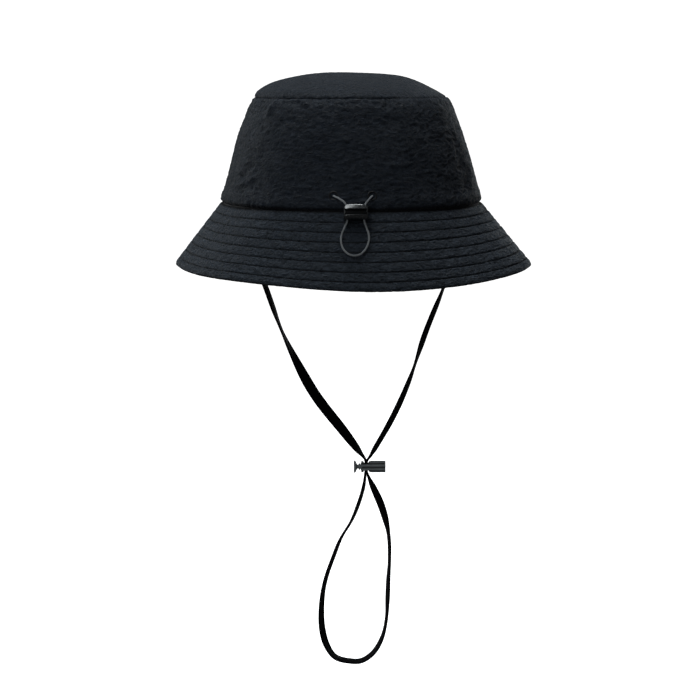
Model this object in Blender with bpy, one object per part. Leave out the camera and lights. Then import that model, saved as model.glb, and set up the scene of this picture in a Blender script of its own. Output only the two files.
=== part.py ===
"""Bucket hat of crinkled nylon with a drawcord at the back and a chin strap, as separate solids.

Frame: metres, +Z up, +Y towards the wearer's face, +X to the wearer's right. The origin is the
centre of the head opening, in the plane of the seam between the crown and the brim.
"""

import math

import bmesh
import bpy
from mathutils import Matrix, Vector

MM = 0.001
GAP = 0.3 * MM  # clearance between pieces that touch on the real hat

# Crown: an oval wall that narrows to the tip seam, closed by a domed tip.
BASE_A, BASE_B = 88.0 * MM, 100.5 * MM  # half width and half length at the brim seam
TIP_A, TIP_B = 65.5 * MM, 77.0 * MM  # half width and half length at the tip seam
WALL_HEIGHT = 71.0 * MM
DOME_RISE = 16.0 * MM
SHELL = 1.0 * MM

# Brim: three plies quilted together, steeper at the back and front than at the sides.
BRIM_SIDE, BRIM_END = 52.0 * MM, 54.3 * MM  # width of the brim at the sides and at the ends
SLOPE_SIDE, SLOPE_END = math.radians(52.6), math.radians(64.5)  # below the horizontal
OUTER_PLY = 0.9 * MM
INTERLINING = 0.8 * MM
# The brim isn't quite even: it flares at one side, and lifts a little at the back. Each place is
# an angle round the hat, and each spread is how far from there the change reaches.
FLARE, FLARE_ANGLE, FLARE_SPREAD = 3.6 * MM, -0.2, 0.6
SWAY, SWAY_ANGLE, SWAY_SPREAD = 2.6 * MM, 4.24, 0.55

# Lining and sweatband; the sweatband is a channel that holds the drawcord against the shell.
LINING = 0.7 * MM
LINING_BOTTOM = 29.0 * MM
BAND_LOW, BAND_HIGH = 1.0 * MM, 27.0 * MM
BAND_OUTER, BAND_INNER = 4.35 * MM, 5.1 * MM  # depth of the band's two faces
BAND_LIP = 0.8 * MM

# Drawcord, eyelets and the two-hole lock on the back of the hat.
CORD_D = 1.3 * MM
CORD_DEPTH = 3.15 * MM
EYELET_SPACING = 24.7 * MM
EYELET_HEIGHT = 9.7 * MM
EYELET_FLANGE_R, EYELET_BARREL_R, EYELET_HOLE_R = 3.1 * MM, 2.1 * MM, 1.8 * MM
WASHER_DEPTH, WASHER = 1.4 * MM, 0.35 * MM
LOCK_X = 1.7 * MM
LOCK_W, LOCK_H = 15.4 * MM, 9.4 * MM
LOCK_LOW = -7.7 * MM  # the lock's lower end, measured down the brim from the seam
LOCK_BACK, LOCK_FRONT, LOCK_BAR_FRONT = 1.2 * MM, 8.8 * MM, 9.8 * MM
CHANNEL_X, CHANNEL_OUT, CHANNEL_R = 5.4 * MM, 4.1 * MM, 1.25 * MM
BUTTON_TRAVEL = 1.5 * MM

# Chin strap: one flat tape, and the barrel lock on it.
TAPE_W, TAPE_T = 8.0 * MM, 1.2 * MM
PINCH_W, PINCH_T = 2.4 * MM, 0.9 * MM  # the tape where the lock squeezes it
BARREL_X, BARREL_Z = 7.1 * MM, -183.8 * MM  # the barrel's open end, and its axis
BARREL_R, BARREL_LENGTH, BORE_R = 4.4 * MM, 16.8 * MM, 3.2 * MM
STRAP_HOLE_X, STRAP_HOLE_R = 10.6 * MM, 2.8 * MM
PLUNGER_TRAVEL = 2.5 * MM

AROUND = 40  # facets round the hat
SPLIT = 0.0018  # half of the angle left open at each side seam


def clear_scene():
    for old in list(bpy.data.objects):
        bpy.data.objects.remove(old)


def material(name, colour, roughness, metallic=0.0):
    made = bpy.data.materials.new(name)
    made.use_nodes = True
    shader = made.node_tree.nodes["Principled BSDF"]
    shader.inputs["Base Color"].default_value = (*colour, 1.0)
    shader.inputs["Roughness"].default_value = roughness
    shader.inputs["Metallic"].default_value = metallic
    return made


def add_object(name, data, finish, parent=None):
    made = bpy.data.objects.new(name, data)
    bpy.context.collection.objects.link(made)
    data.materials.append(finish)
    if parent:
        made.parent = parent
    return made


def add_frame(name, place, parent=None):
    """An empty that a moving piece hangs on, at the point and angle of its joint."""
    made = bpy.data.objects.new(name, None)
    bpy.context.collection.objects.link(made)
    made.matrix_world = place
    if parent:
        made.parent = parent
        made.matrix_parent_inverse = Matrix()
    return made


def mix(start, end, share):
    return start + (end - start) * share


def smooth_path(points, per_span):
    """Points along a Catmull-Rom curve through the given ones."""
    padded = [points[0] * 2 - points[1], *points, points[-1] * 2 - points[-2]]
    path = []
    for before, start, end, after in zip(padded, padded[1:], padded[2:], padded[3:]):
        for step in range(per_span):
            u = step / per_span
            path.append(
                0.5
                * (
                    2 * start
                    + (end - before) * u
                    + (2 * before - 5 * start + 4 * end - after) * u * u
                    + (3 * start - before - 3 * end + after) * u**3
                )
            )
    path.append(points[-1].copy())
    return path


def evenly_spaced(path, spacing):
    """The same path with its points a fixed distance apart."""
    lengths = [0.0]
    for a, b in zip(path, path[1:]):
        lengths.append(lengths[-1] + (b - a).length)
    count = max(2, round(lengths[-1] / spacing))
    spaced, index = [], 0
    for step in range(count + 1):
        wanted = lengths[-1] * step / count
        while index < len(path) - 2 and lengths[index + 1] < wanted:
            index += 1
        span = lengths[index + 1] - lengths[index]
        spaced.append(path[index].lerp(path[index + 1], (wanted - lengths[index]) / span))
    return spaced


def loft(name, sections, finish, ring=False, parent=None, smooth=True, inner_from=None):
    """A closed solid through sections with equal numbers of points, capped unless it is a ring.

    Points from inner_from on lie on the inner face of a ply. Its quads are split along the same
    diagonals as the outer face's, so that nested plies stay parallel.
    """
    mesh = bpy.data.meshes.new(name)
    work = bmesh.new()
    rows = [[work.verts.new(point) for point in section] for section in sections]
    pairs = list(zip(rows, rows[1:]))
    if ring:
        pairs.append((rows[-1], rows[0]))
    else:
        work.faces.new(rows[0])
        work.faces.new(rows[-1])
    for low, high in pairs:
        for i in range(len(low)):
            j = (i + 1) % len(low)
            if inner_from is None:
                work.faces.new((low[i], low[j], high[j], high[i]))
            elif i < inner_from:
                work.faces.new((low[i], low[j], high[j]))
                work.faces.new((low[i], high[j], high[i]))
            else:
                work.faces.new((low[i], low[j], high[i]))
                work.faces.new((low[j], high[j], high[i]))
    bmesh.ops.recalc_face_normals(work, faces=work.faces)
    work.to_mesh(mesh)
    work.free()
    if smooth:
        mesh.shade_smooth()
        mesh.set_sharp_from_angle(angle=math.radians(35))
    return add_object(name, mesh, finish, parent)


def circle(centre, across, up, radius, count=16):
    """Points of a circle in the plane of two unit vectors."""
    turns = [math.tau * i / count for i in range(count)]
    return [centre + radius * (across * math.cos(a) + up * math.sin(a)) for a in turns]


def turned(name, profile, finish, place, parent=None, count=24, ring=True):
    """A turned piece: profile is (distance along the axis, radius), and the axis is place's Z."""
    across, up, along = (place.col[i].xyz for i in range(3))
    sections = [circle(place.translation + along * z, across, up, r, count) for z, r in profile]
    return loft(name, sections, finish, ring, parent)


def tube(name, path, diameter, finish, parent=None, resolution=2):
    """A round cord or wire along a path."""
    curve = bpy.data.curves.new(name, "CURVE")
    curve.dimensions = "3D"
    curve.bevel_depth = diameter / 2
    curve.bevel_resolution = resolution
    curve.use_fill_caps = True
    spline = curve.splines.new("POLY")
    spline.points.add(len(path) - 1)
    for point, place in zip(spline.points, path):
        point.co = (*place, 1.0)
    return add_object(name, curve, finish, parent)


def cut(target, cutter):
    """Cuts one object's shape out of another and leaves the cutter as a hidden guide."""
    cutter.hide_render = True
    cutter.display_type = "WIRE"
    step = target.modifiers.new("cut_" + cutter.name, "BOOLEAN")
    step.operation = "DIFFERENCE"
    step.solver = "EXACT"
    step.object = cutter


def crown_point(angle, height, depth=0.0):
    """A point on the crown's wall, or a depth inside it, and the wall's outward normal there."""

    def outside(a, z):
        rise = z / WALL_HEIGHT
        narrowing = 0.72 * rise + 0.28 * rise**3
        half_width = mix(BASE_A, TIP_A, narrowing)
        half_length = mix(BASE_B, TIP_B, narrowing)
        return Vector((half_width * math.cos(a), half_length * math.sin(a), z))

    small = 1e-4
    along = outside(angle + small, height) - outside(angle - small, height)
    upward = outside(angle, height + small) - outside(angle, height - small)
    normal = along.cross(upward).normalized()
    return outside(angle, height) - normal * depth, normal


def brim_point(angle, across, depth=0.0):
    """A point on the brim's upper face, across it from the seam, or a depth below that face."""
    endward = math.sin(angle) ** 2
    slope = mix(SLOPE_SIDE, SLOPE_END, endward)
    seam, _ = crown_point(angle, 0.0)
    outward = Vector((math.cos(angle) / BASE_A, math.sin(angle) / BASE_B, 0)).normalized()
    down_slope = outward * math.cos(slope) - Vector((0, 0, math.sin(slope)))
    upper = outward * math.sin(slope) + Vector((0, 0, math.cos(slope)))
    start = seam - Vector((0, 0, GAP))
    plain = start + down_slope * across * mix(BRIM_SIDE, BRIM_END, endward) - upper * depth
    turn = (angle - FLARE_ANGLE + math.pi) % math.tau - math.pi
    flare = FLARE * math.exp(-((turn / FLARE_SPREAD) ** 2)) * across
    sway = SWAY * math.exp(-(((angle % math.tau - SWAY_ANGLE) / SWAY_SPREAD) ** 2)) * across**2
    return plain + outward * flare + Vector((0, 0, sway))


def angles_of(half=None):
    """Angles round the hat: all of it, or the back or front half between the side seams."""
    if half is None:
        return angles_of("front") + angles_of("back")
    start = math.pi if half == "back" else 0.0
    steps = AROUND // 2
    open_angles = [start + math.pi * i / steps for i in range(1, steps)]
    return [start + SPLIT, *open_angles, start + math.pi - SPLIT]


def layer(name, point_at, stations, outer, inner, finish, half=None):
    """One ply of fabric: a surface swept round the hat between two depths."""
    sections = []
    for angle in angles_of(half):
        outside = [point_at(angle, station, outer) for station in stations]
        inside = [point_at(angle, station, inner) for station in reversed(stations)]
        sections.append(outside + inside)
    return loft(name, sections, finish, ring=half is None, inner_from=len(stations))


def wall_point(angle, height, depth):
    return crown_point(angle, height, depth)[0]


def add_dome(name, outer, inner, finish):
    """A domed oval ply that closes the crown above the tip seam."""

    def ring_at(share, depth):
        rise = (DOME_RISE - depth) * (1 - share**2.5) ** 0.75
        a, b = (TIP_A - depth) * share, (TIP_B - depth) * share
        return [
            Vector((a * math.cos(t), b * math.sin(t), WALL_HEIGHT + rise)) for t in angles_of()
        ]

    shares = [0.15, 0.5, 0.78, 0.93, 1.0]
    upper = [ring_at(share, outer) for share in shares]
    lower = [ring_at(share, inner) for share in reversed(shares)]
    return loft(name, upper + lower, finish)


def add_crown(fabric, lining_fabric, band_fabric):
    heights = [WALL_HEIGHT * share for share in (0.0, 0.3, 0.6, 0.85)]
    heights.append(WALL_HEIGHT - GAP)
    walls = {}
    for half in ("back", "front"):
        name = "crown_side_" + half
        walls[half] = layer(name, wall_point, heights, 0.0, SHELL, fabric, half)
    add_dome("crown_tip", 0.0, SHELL, fabric)

    outer = SHELL + GAP
    heights = [mix(LINING_BOTTOM, WALL_HEIGHT - 2 * GAP, share) for share in (0.0, 0.35, 0.7, 1.0)]
    layer("lining_side", wall_point, heights, outer, outer + LINING, lining_fabric)
    add_dome("lining_tip", outer, outer + LINING, lining_fabric)

    corners = [
        (BAND_LOW, outer),
        (BAND_LOW, BAND_INNER),
        (BAND_HIGH, BAND_INNER),
        (BAND_HIGH, outer),
        (BAND_HIGH - BAND_LIP, outer),
        (BAND_HIGH - BAND_LIP, BAND_OUTER),
        (BAND_LOW + BAND_LIP, BAND_OUTER),
        (BAND_LOW + BAND_LIP, outer),
    ]
    sections = [[wall_point(a, height, depth) for height, depth in corners] for a in angles_of()]
    loft("sweatband", sections, band_fabric, ring=True)
    return walls["back"]


def add_brim(fabric, stiffener):
    stations = [0.0, 0.5, 1.0]
    middle = OUTER_PLY + GAP
    under = middle + INTERLINING + GAP
    for half in ("back", "front"):
        layer("brim_top_" + half, brim_point, stations, 0.0, OUTER_PLY, fabric, half)
        layer("brim_under_" + half, brim_point, stations, under, under + OUTER_PLY, fabric, half)
    layer("brim_interlining", brim_point, stations, middle, middle + INTERLINING, stiffener)


def eyelet_place(side):
    """The eyelet's own frame: Z points straight out of the crown."""
    angle = math.pi * 1.5
    for _ in range(8):
        point, normal = crown_point(angle, EYELET_HEIGHT)
        angle += (side * EYELET_SPACING / 2 - point.x) / BASE_A
    across = normal.cross(Vector((0, 0, 1))).normalized()
    turn = Matrix((across, normal.cross(across), normal)).transposed()
    return Matrix.Translation(point) @ turn.to_4x4()


def add_eyelets(back_wall, metal, fabric):
    flange = [
        (-2.0 * MM, EYELET_HOLE_R),
        (-2.0 * MM, EYELET_BARREL_R),
        (GAP, EYELET_BARREL_R),
        (GAP, EYELET_FLANGE_R),
        (0.55 * MM, EYELET_FLANGE_R),
        (0.95 * MM, 2.65 * MM),
        (0.95 * MM, 2.15 * MM),
        (0.6 * MM, EYELET_HOLE_R),
    ]
    washer_hole = EYELET_BARREL_R + GAP
    washer = [
        (-WASHER_DEPTH, washer_hole),
        (-WASHER_DEPTH, EYELET_FLANGE_R),
        (-WASHER_DEPTH - WASHER, EYELET_FLANGE_R),
        (-WASHER_DEPTH - WASHER, washer_hole),
    ]
    drill = [(-5 * MM, washer_hole), (5 * MM, washer_hole)]
    for name, side in (("left", -1), ("right", 1)):
        place = eyelet_place(side)
        turned("eyelet_" + name, flange, metal, place)
        turned("eyelet_washer_" + name, washer, metal, place)
        cut(back_wall, turned("eyelet_drill_" + name, drill, fabric, place, ring=False))


def lock_frame_matrix():
    """The drawcord lock's frame on the seam: Z points up the brim's slope, -Y away from the hat."""
    seam, _ = crown_point(math.pi * 1.5, 0.0)
    lean = SLOPE_END - math.pi / 2
    return Matrix.Translation((LOCK_X, seam.y, 0)) @ Matrix.Rotation(lean, 4, "X")


def add_casing_cord(elastic):
    """The drawcord inside its casing, round the front from one eyelet to the other."""
    start = eyelet_place(1).translation
    first = math.atan2(start.y / BASE_B, start.x / BASE_A)
    clearance = 0.024  # leaves room for the cord that turns out through the eyelet
    low, high = first + clearance, math.pi - first - clearance
    steps = 60
    path = [
        wall_point(mix(low, high, step / steps), EYELET_HEIGHT, CORD_DEPTH)
        for step in range(steps + 1)
    ]
    tube("drawcord_in_casing", path, CORD_D, elastic)


def add_drawcord_loop(elastic):
    """The free stretch of the drawcord: out of one eyelet, through the lock, and back."""
    frame = lock_frame_matrix()
    # Across, out from the seam and up the slope, in millimetres, for the left and right strands.
    left = [(-8.6, 4.3, 5.9), (-6.2, 4.3, 3.0), (-5.4, 4.1, 0.2), (-5.4, 4.1, -7.6),
            (-6.6, 3.4, -10.9), (-8.5, 2.2, -15.2), (-9.4, 1.7, -19.6), (-8.9, 1.6, -23.6),
            (-7.2, 1.6, -27.2)]
    right = [(8.1, 4.4, 6.0), (6.1, 4.3, 3.0), (5.4, 4.1, 0.2), (5.4, 4.1, -7.6),
             (6.4, 3.4, -11.0), (7.9, 2.2, -15.2), (8.4, 1.7, -19.0), (7.7, 1.6, -22.8),
             (6.0, 1.6, -26.4)]
    bottom = [(-4.3, 1.6, -29.7), (-0.6, 1.6, -30.6), (3.2, 1.6, -29.4)]

    def strand(side, places):
        place = eyelet_place(side)
        inside_out = [(-1.0, -3.0), (-0.4, -1.2), (0.2, 0.6), (1.1, 1.9)]
        aim = frame @ Vector([v * MM for v in (places[0][0], -places[0][1], places[0][2])])
        towards = aim - place.translation
        normal = place.col[2].xyz
        towards = (towards - normal * towards.dot(normal)).normalized()
        start = [place.translation + (towards * t + normal * n) * MM for t, n in inside_out]
        return start + [frame @ (Vector((x, -out, up)) * MM) for x, out, up in places]

    turn = [frame @ (Vector((x, -out, up)) * MM) for x, out, up in bottom]
    route = strand(-1, left) + turn + list(reversed(strand(1, right)))
    tube("drawcord_loop", evenly_spaced(smooth_path(route, 12), 2.2 * MM), CORD_D, elastic)


def box(name, low, high, finish, parent):
    """A rectangular block between two corners."""
    (x0, y0, z0), (x1, y1, z1) = low, high
    ends = [
        [Vector((x, y, z)) for y, z in ((y0, z0), (y1, z0), (y1, z1), (y0, z1))] for x in (x0, x1)
    ]
    return loft(name, ends, finish, parent=parent, smooth=False)


def add_bevel(piece, width, segments=2):
    step = piece.modifiers.new("soft_edges", "BEVEL")
    step.width = width
    step.segments = segments
    step.limit_method = "ANGLE"
    step.angle_limit = math.radians(40)


def coil(radius, start, end, turns, wire, name, finish, place, parent=None):
    """A compression spring along place's Z."""
    points_per_turn = 8
    steps = turns * points_per_turn
    path = []
    for step in range(steps + 1):
        turn = math.tau * step / points_per_turn
        along = mix(start, end, step / steps)
        local = Vector((radius * math.cos(turn), radius * math.sin(turn), along))
        path.append(place @ local)
    return tube(name, path, wire, finish, parent, resolution=1)


def add_drawcord_lock(plastic, button_plastic, steel):
    frame = add_frame("drawcord_lock_frame", lock_frame_matrix())
    top = LOCK_LOW + LOCK_H
    middle = (LOCK_LOW + top) / 2
    # Profile of the body as (out from the hat, height above its middle): a lower rim, and a bar
    # across the top that stands further out.
    half = LOCK_H / 2
    profile = [
        (LOCK_BACK, -half + 0.8 * MM),
        (LOCK_BACK + 0.8 * MM, -half),
        (LOCK_FRONT - 0.9 * MM, -half),
        (LOCK_FRONT, -half + 0.9 * MM),
        (LOCK_FRONT, -half + 2.4 * MM),
        (LOCK_BAR_FRONT, half - 3.6 * MM),
        (LOCK_BAR_FRONT, half - 1.4 * MM),
        (LOCK_BAR_FRONT - 1.6 * MM, half),
        (LOCK_BACK + 0.8 * MM, half),
        (LOCK_BACK, half - 0.8 * MM),
    ]
    middle_out = (LOCK_BACK + LOCK_FRONT) / 2
    sections = []
    stations = 10
    for step in range(stations + 1):
        share = 2 * step / stations - 1
        arch = 0.5 * MM * (1 - share**2)
        end = 1 - 0.16 * max(0.0, (abs(share) - 0.7) / 0.3) ** 2
        sections.append(
            [
                Vector((
                    share * LOCK_W / 2,
                    -(middle_out + (out - middle_out) * end),
                    middle + up * end + arch - 0.25 * MM,
                ))
                for out, up in profile
            ]
        )
    body = loft("drawcord_lock_body", sections, plastic, parent=frame)

    for name, side in (("left", -1), ("right", 1)):
        centre = Vector((side * CHANNEL_X, -CHANNEL_OUT, 0))
        ends = [
            circle(centre + Vector((0, 0, z)), Vector((1, 0, 0)), Vector((0, 1, 0)), CHANNEL_R)
            for z in (LOCK_LOW - 2 * MM, top + 2 * MM)
        ]
        cut(body, loft("channel_" + name, ends, plastic, parent=frame))

    window_low, window_high = middle - 2.2 * MM, middle + 1.1 * MM
    recess_back = CHANNEL_OUT + CHANNEL_R + GAP
    cut(body, box("button_recess", (-6.9 * MM, -12 * MM, window_low),
                  (6.9 * MM, -recess_back, window_high), plastic, frame))
    pocket_back = LOCK_BACK + 0.8 * MM
    cut(body, box("button_pocket", (-4.8 * MM, -12 * MM, window_low),
                  (4.8 * MM, -pocket_back, window_high), plastic, frame))

    head_back = recess_back + BUTTON_TRAVEL + GAP
    low, high = window_low + GAP, window_high - GAP
    stem_end = 5.5 * MM
    outline = [(-6.5 * MM, 8.5 * MM), (6.5 * MM, 8.5 * MM), (6.5 * MM, head_back),
               (4.1 * MM, head_back), (4.1 * MM, stem_end), (-4.1 * MM, stem_end),
               (-4.1 * MM, head_back), (-6.5 * MM, head_back)]
    ends = [[Vector((x, -out, z)) for x, out in outline] for z in (low, high)]
    button = loft("drawcord_lock_button", ends, button_plastic, parent=frame, smooth=False)
    add_bevel(button, 0.25 * MM)

    spring_place = Matrix.Translation((0, -pocket_back, (low + high) / 2)) @ Matrix.Rotation(
        math.pi / 2, 4, "X"
    )
    wire = 0.3 * MM
    length = stem_end - pocket_back
    coil(0.95 * MM, GAP + wire / 2, length - GAP - wire / 2, 3, wire,
         "drawcord_lock_spring", steel, spring_place, frame)


def add_tape(name, path, widths, thicknesses, twists, finish):
    """A flat tape along a path; a twist of 0 sets its width along Y."""
    sections = []
    for i, point in enumerate(path):
        tangent = (path[min(i + 1, len(path) - 1)] - path[max(i - 1, 0)]).normalized()
        side = Vector((0, 1, 0)) - tangent * tangent.y
        side = Matrix.Rotation(twists[i], 3, tangent) @ side.normalized()
        face = tangent.cross(side)
        half_w, half_t = widths[i] / 2, thicknesses[i] / 2
        edge = min(half_w * 0.9, half_w - half_t * 0.6)
        corners = [(half_w, 0), (edge, half_t), (-edge, half_t),
                   (-half_w, 0), (-edge, -half_t), (edge, -half_t)]
        sections.append([point + side * w + face * t for w, t in corners])
    return loft(name, sections, finish)


def pinched(distance, reach):
    """1 away from the lock, falling smoothly to 0 where the lock squeezes the tape."""
    share = min(1.0, max(0.0, distance / reach))
    return share * share * (3 - 2 * share)


def twist_at(table, height):
    """The twist in degrees at a height, from a table of (height, twist), both ends held."""
    table = sorted(table)
    for (low, start), (high, end) in zip(table, table[1:]):
        if height <= high:
            return mix(start, end, max(0.0, (height - low) / (high - low)))
    return table[-1][1]


def tape_along(name, route, tables, pinch_ends, finish, spacing=7.0 * MM):
    """A tape through route's points; tables give its twist on the way down and the way up."""
    path = evenly_spaced(smooth_path(route, 12), spacing)
    last = len(path) - 1
    lowest = min(range(len(path)), key=lambda i: path[i].z)
    widths, thicknesses, twists = [], [], []
    for i, point in enumerate(path):
        distances = [abs(i - end) * spacing for end in (0, last) if end / last in pinch_ends]
        open_share = min(pinched(d - 4 * MM, 13 * MM) for d in distances)
        widths.append(mix(PINCH_W, TAPE_W, open_share))
        thicknesses.append(mix(PINCH_T, TAPE_T, open_share))
        twists.append(math.radians(twist_at(tables[0 if i <= lowest else 1], point.z / MM)))
    return add_tape(name, path, widths, thicknesses, twists, finish)


def add_chin_strap(webbing):
    """The strap's two legs from the side seams to the lock, and the loop below the lock."""
    apart = PINCH_T / 2 + GAP / 2
    # Free points of each leg as (x, y, z) in millimetres, from the seam down to the lock.
    legs = {
        "left": (-1, [(-78.4, 0, -11), (-69.5, -1, -32), (-59.0, -2, -57.1), (-45.1, -3, -94.1),
                      (-26.3, -3, -130.4), (-5.1, -2, -158.6), (7.3, 0, -175.0)],
                 [(-11, 0), (-35, 16), (-64, 22), (-90, 5), (-106, 30), (-123, 58),
                  (-152, 56), (-163, 46), (-171, 30), (-180, 0)]),
        "right": (1, [(79.0, 0, -11), (71.9, 1, -32), (63.7, 2, -59.1), (51.1, 3, -91.5),
                      (40.2, 3, -124.1), (29.0, 2, -149.5), (15.2, 0, -173.5)],
                  [(-11, 0), (-40, 14), (-72, 28), (-98, 32), (-114, 11), (-124, 26),
                   (-155, 36), (-165, 32), (-180, 0)]),
    }
    for name, (side, free, twist) in legs.items():
        angle = 0.0 if side > 0 else math.pi
        depth = BAND_INNER + 2 * GAP + TAPE_T / 2
        sewn = [wall_point(angle, height * MM, depth) for height in (12.0, 7.0, 2.0)]
        x = STRAP_HOLE_X + side * apart
        ends = [Vector((x, 0, BARREL_Z + rise * MM)) for rise in (4.2, 0.15)]
        route = sewn + [Vector(point) * MM for point in free] + ends
        tape_along("chin_strap_" + name, route, (twist, twist), (1.0,), webbing)

    loop = [(8.6, -1, -198.0), (5.2, -2, -209.5), (0.3, -3, -221.4), (-7.2, -3, -234.0),
            (-12.6, -3, -247.6), (-17.0, -3, -260.3), (-19.7, -2, -273.0), (-20.8, -2, -287.7),
            (-20.0, -1, -300.0), (-16.9, 0, -311.0), (-10.6, 1, -319.8), (0.4, 1, -322.6),
            (8.4, 1, -321.8), (16.2, 1, -315.8), (21.8, 1, -305.6), (24.6, 2, -293.3),
            (25.5, 2, -278.7), (26.1, 3, -265.0), (26.9, 3, -251.3), (26.7, 3, -236.8),
            (24.7, 2, -224.1), (21.1, 2, -211.5), (15.8, 1, -198.9)]
    start = [Vector((STRAP_HOLE_X - apart, 0, BARREL_Z - drop * MM)) for drop in (0.15, 4.4)]
    end = [Vector((STRAP_HOLE_X + apart, 0, BARREL_Z - drop * MM)) for drop in (4.4, 0.15)]
    route = start + [Vector(point) * MM for point in loop] + end
    down = [(-186, 0), (-197, 12), (-213, 20), (-232, 14), (-270, 21), (-304, 30), (-323, 10)]
    up = [(-323, 10), (-300, 8), (-279, 18), (-255, 9), (-230, 14), (-213, 40), (-197, 32),
          (-186, 0)]
    tape_along("chin_strap_loop", route, (down, up), (0.0, 1.0), webbing)


def add_chin_lock(plastic, steel):
    """A fluted barrel with a strap hole, and a sprung plunger in it, on an axis along X."""
    along_x = Matrix.Translation((0, 0, BARREL_Z)) @ Matrix.Rotation(math.pi / 2, 4, "Y")
    frame = add_frame("chin_lock_frame", Matrix.Translation((STRAP_HOLE_X, 0, BARREL_Z)))
    back = frame.matrix_world.inverted()
    place = back @ along_x
    across, up, along = (place.col[i].xyz for i in range(3))

    flutes = 10

    def fluted(x, radius):
        ring = []
        for i in range(flutes * 3):
            turn = math.tau * i / (flutes * 3)
            depth = 0.3 * MM if i % 3 == 0 else 0.0
            spoke = across * math.cos(turn) + up * math.sin(turn)
            ring.append(place.translation + along * x + spoke * (radius - depth))
        return ring

    def plain(x, radius):
        return circle(place.translation + along * x, across, up, radius, flutes * 3)

    end = BARREL_X + BARREL_LENGTH
    chamfer = 0.4 * MM
    wall = 1.0 * MM
    sections = [
        plain(BARREL_X, BORE_R),
        plain(BARREL_X, BARREL_R - chamfer),
        fluted(BARREL_X + chamfer, BARREL_R),
        fluted(end - chamfer, BARREL_R),
        plain(end, BARREL_R - chamfer),
    ]
    inside_end = [plain(end - wall, BORE_R)]
    # The outside runs from the mouth to the closed end; the bore's cap is its own disc.
    body = closed_barrel("chin_lock_body", sections, inside_end[0], plastic, frame)

    flare = 3.7 * MM
    hole_profile = [(-6 * MM, flare), (-BARREL_R + 0.2 * MM, flare), (-BARREL_R + 1.1 * MM, STRAP_HOLE_R),
                    (BARREL_R - 1.1 * MM, STRAP_HOLE_R), (BARREL_R - 0.2 * MM, flare), (6 * MM, flare)]
    cut(body, turned("strap_hole", hole_profile, plastic, Matrix(), frame, 20, ring=False))

    tip = BARREL_X - 5.0 * MM
    shaft_start, shaft_end = BARREL_X - 1.6 * MM, 18.0 * MM
    profile = [
        (tip, 3.3 * MM), (tip + 0.3 * MM, 3.8 * MM), (tip + 0.9 * MM, 3.8 * MM),
        (tip + 2.6 * MM, 1.6 * MM), (tip + 3.2 * MM, 1.6 * MM),
        (shaft_start, 2.5 * MM), (shaft_start + 0.9 * MM, 2.9 * MM), (shaft_end, 2.9 * MM),
    ]
    plunger = turned("chin_lock_plunger", profile, plastic, place, frame, 20, ring=False)
    strap_half = PINCH_T + GAP / 2 + GAP
    slot_low, slot_high = -strap_half - PLUNGER_TRAVEL, strap_half + 0.6 * MM
    cut(plunger, box("strap_slot", (slot_low, -1.8 * MM, -6 * MM), (slot_high, 1.8 * MM, 6 * MM),
                     plastic, frame))

    wire = 0.42 * MM
    coil(2.0 * MM, shaft_end + GAP + wire / 2, end - wall - GAP - wire / 2, 3, wire,
         "chin_lock_spring", steel, place, frame)


def closed_barrel(name, sections, cap, finish, parent):
    """A tube closed at one end: outside rings from its mouth, and a disc that ends the bore."""
    mesh = bpy.data.meshes.new(name)
    work = bmesh.new()
    rows = [[work.verts.new(point) for point in section] for section in [cap, *sections]]
    for low, high in zip(rows, rows[1:]):
        for i in range(len(low)):
            j = (i + 1) % len(low)
            work.faces.new((low[i], low[j], high[j], high[i]))
    work.faces.new(rows[0])
    work.faces.new(rows[-1])
    bmesh.ops.recalc_face_normals(work, faces=work.faces)
    work.to_mesh(mesh)
    work.free()
    return add_object(name, mesh, finish, parent)


def main():
    clear_scene()
    shell = material("crinkled_nylon", (0.012, 0.014, 0.018), 0.62)
    lining = material("lining_fabric", (0.016, 0.017, 0.02), 0.75)
    band = material("sweatband_fabric", (0.014, 0.015, 0.018), 0.85)
    stiffener = material("brim_stiffener", (0.05, 0.05, 0.05), 0.9)
    metal = material("eyelet_metal", (0.03, 0.03, 0.033), 0.25, 1.0)
    elastic = material("elastic_cord", (0.075, 0.08, 0.09), 0.5)
    plastic = material("lock_plastic", (0.045, 0.05, 0.055), 0.4)
    button_plastic = material("button_plastic", (0.02, 0.022, 0.025), 0.4)
    webbing = material("strap_webbing", (0.008, 0.008, 0.01), 0.7)
    steel = material("spring_steel", (0.5, 0.5, 0.5), 0.3, 1.0)

    back_wall = add_crown(shell, lining, band)
    add_brim(shell, stiffener)
    add_eyelets(back_wall, metal, shell)
    add_casing_cord(elastic)
    add_drawcord_loop(elastic)
    add_drawcord_lock(plastic, button_plastic, steel)
    add_chin_strap(webbing)
    add_chin_lock(plastic, steel)


main()
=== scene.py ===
"""The looks of the bucket hat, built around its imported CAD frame.

Same frame as the CAD: metres, +Z up, +Y towards the wearer's face. The camera stands behind the hat.
"""

import math

import bmesh
import bpy
import numpy as np
from mathutils import Matrix, Vector


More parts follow.
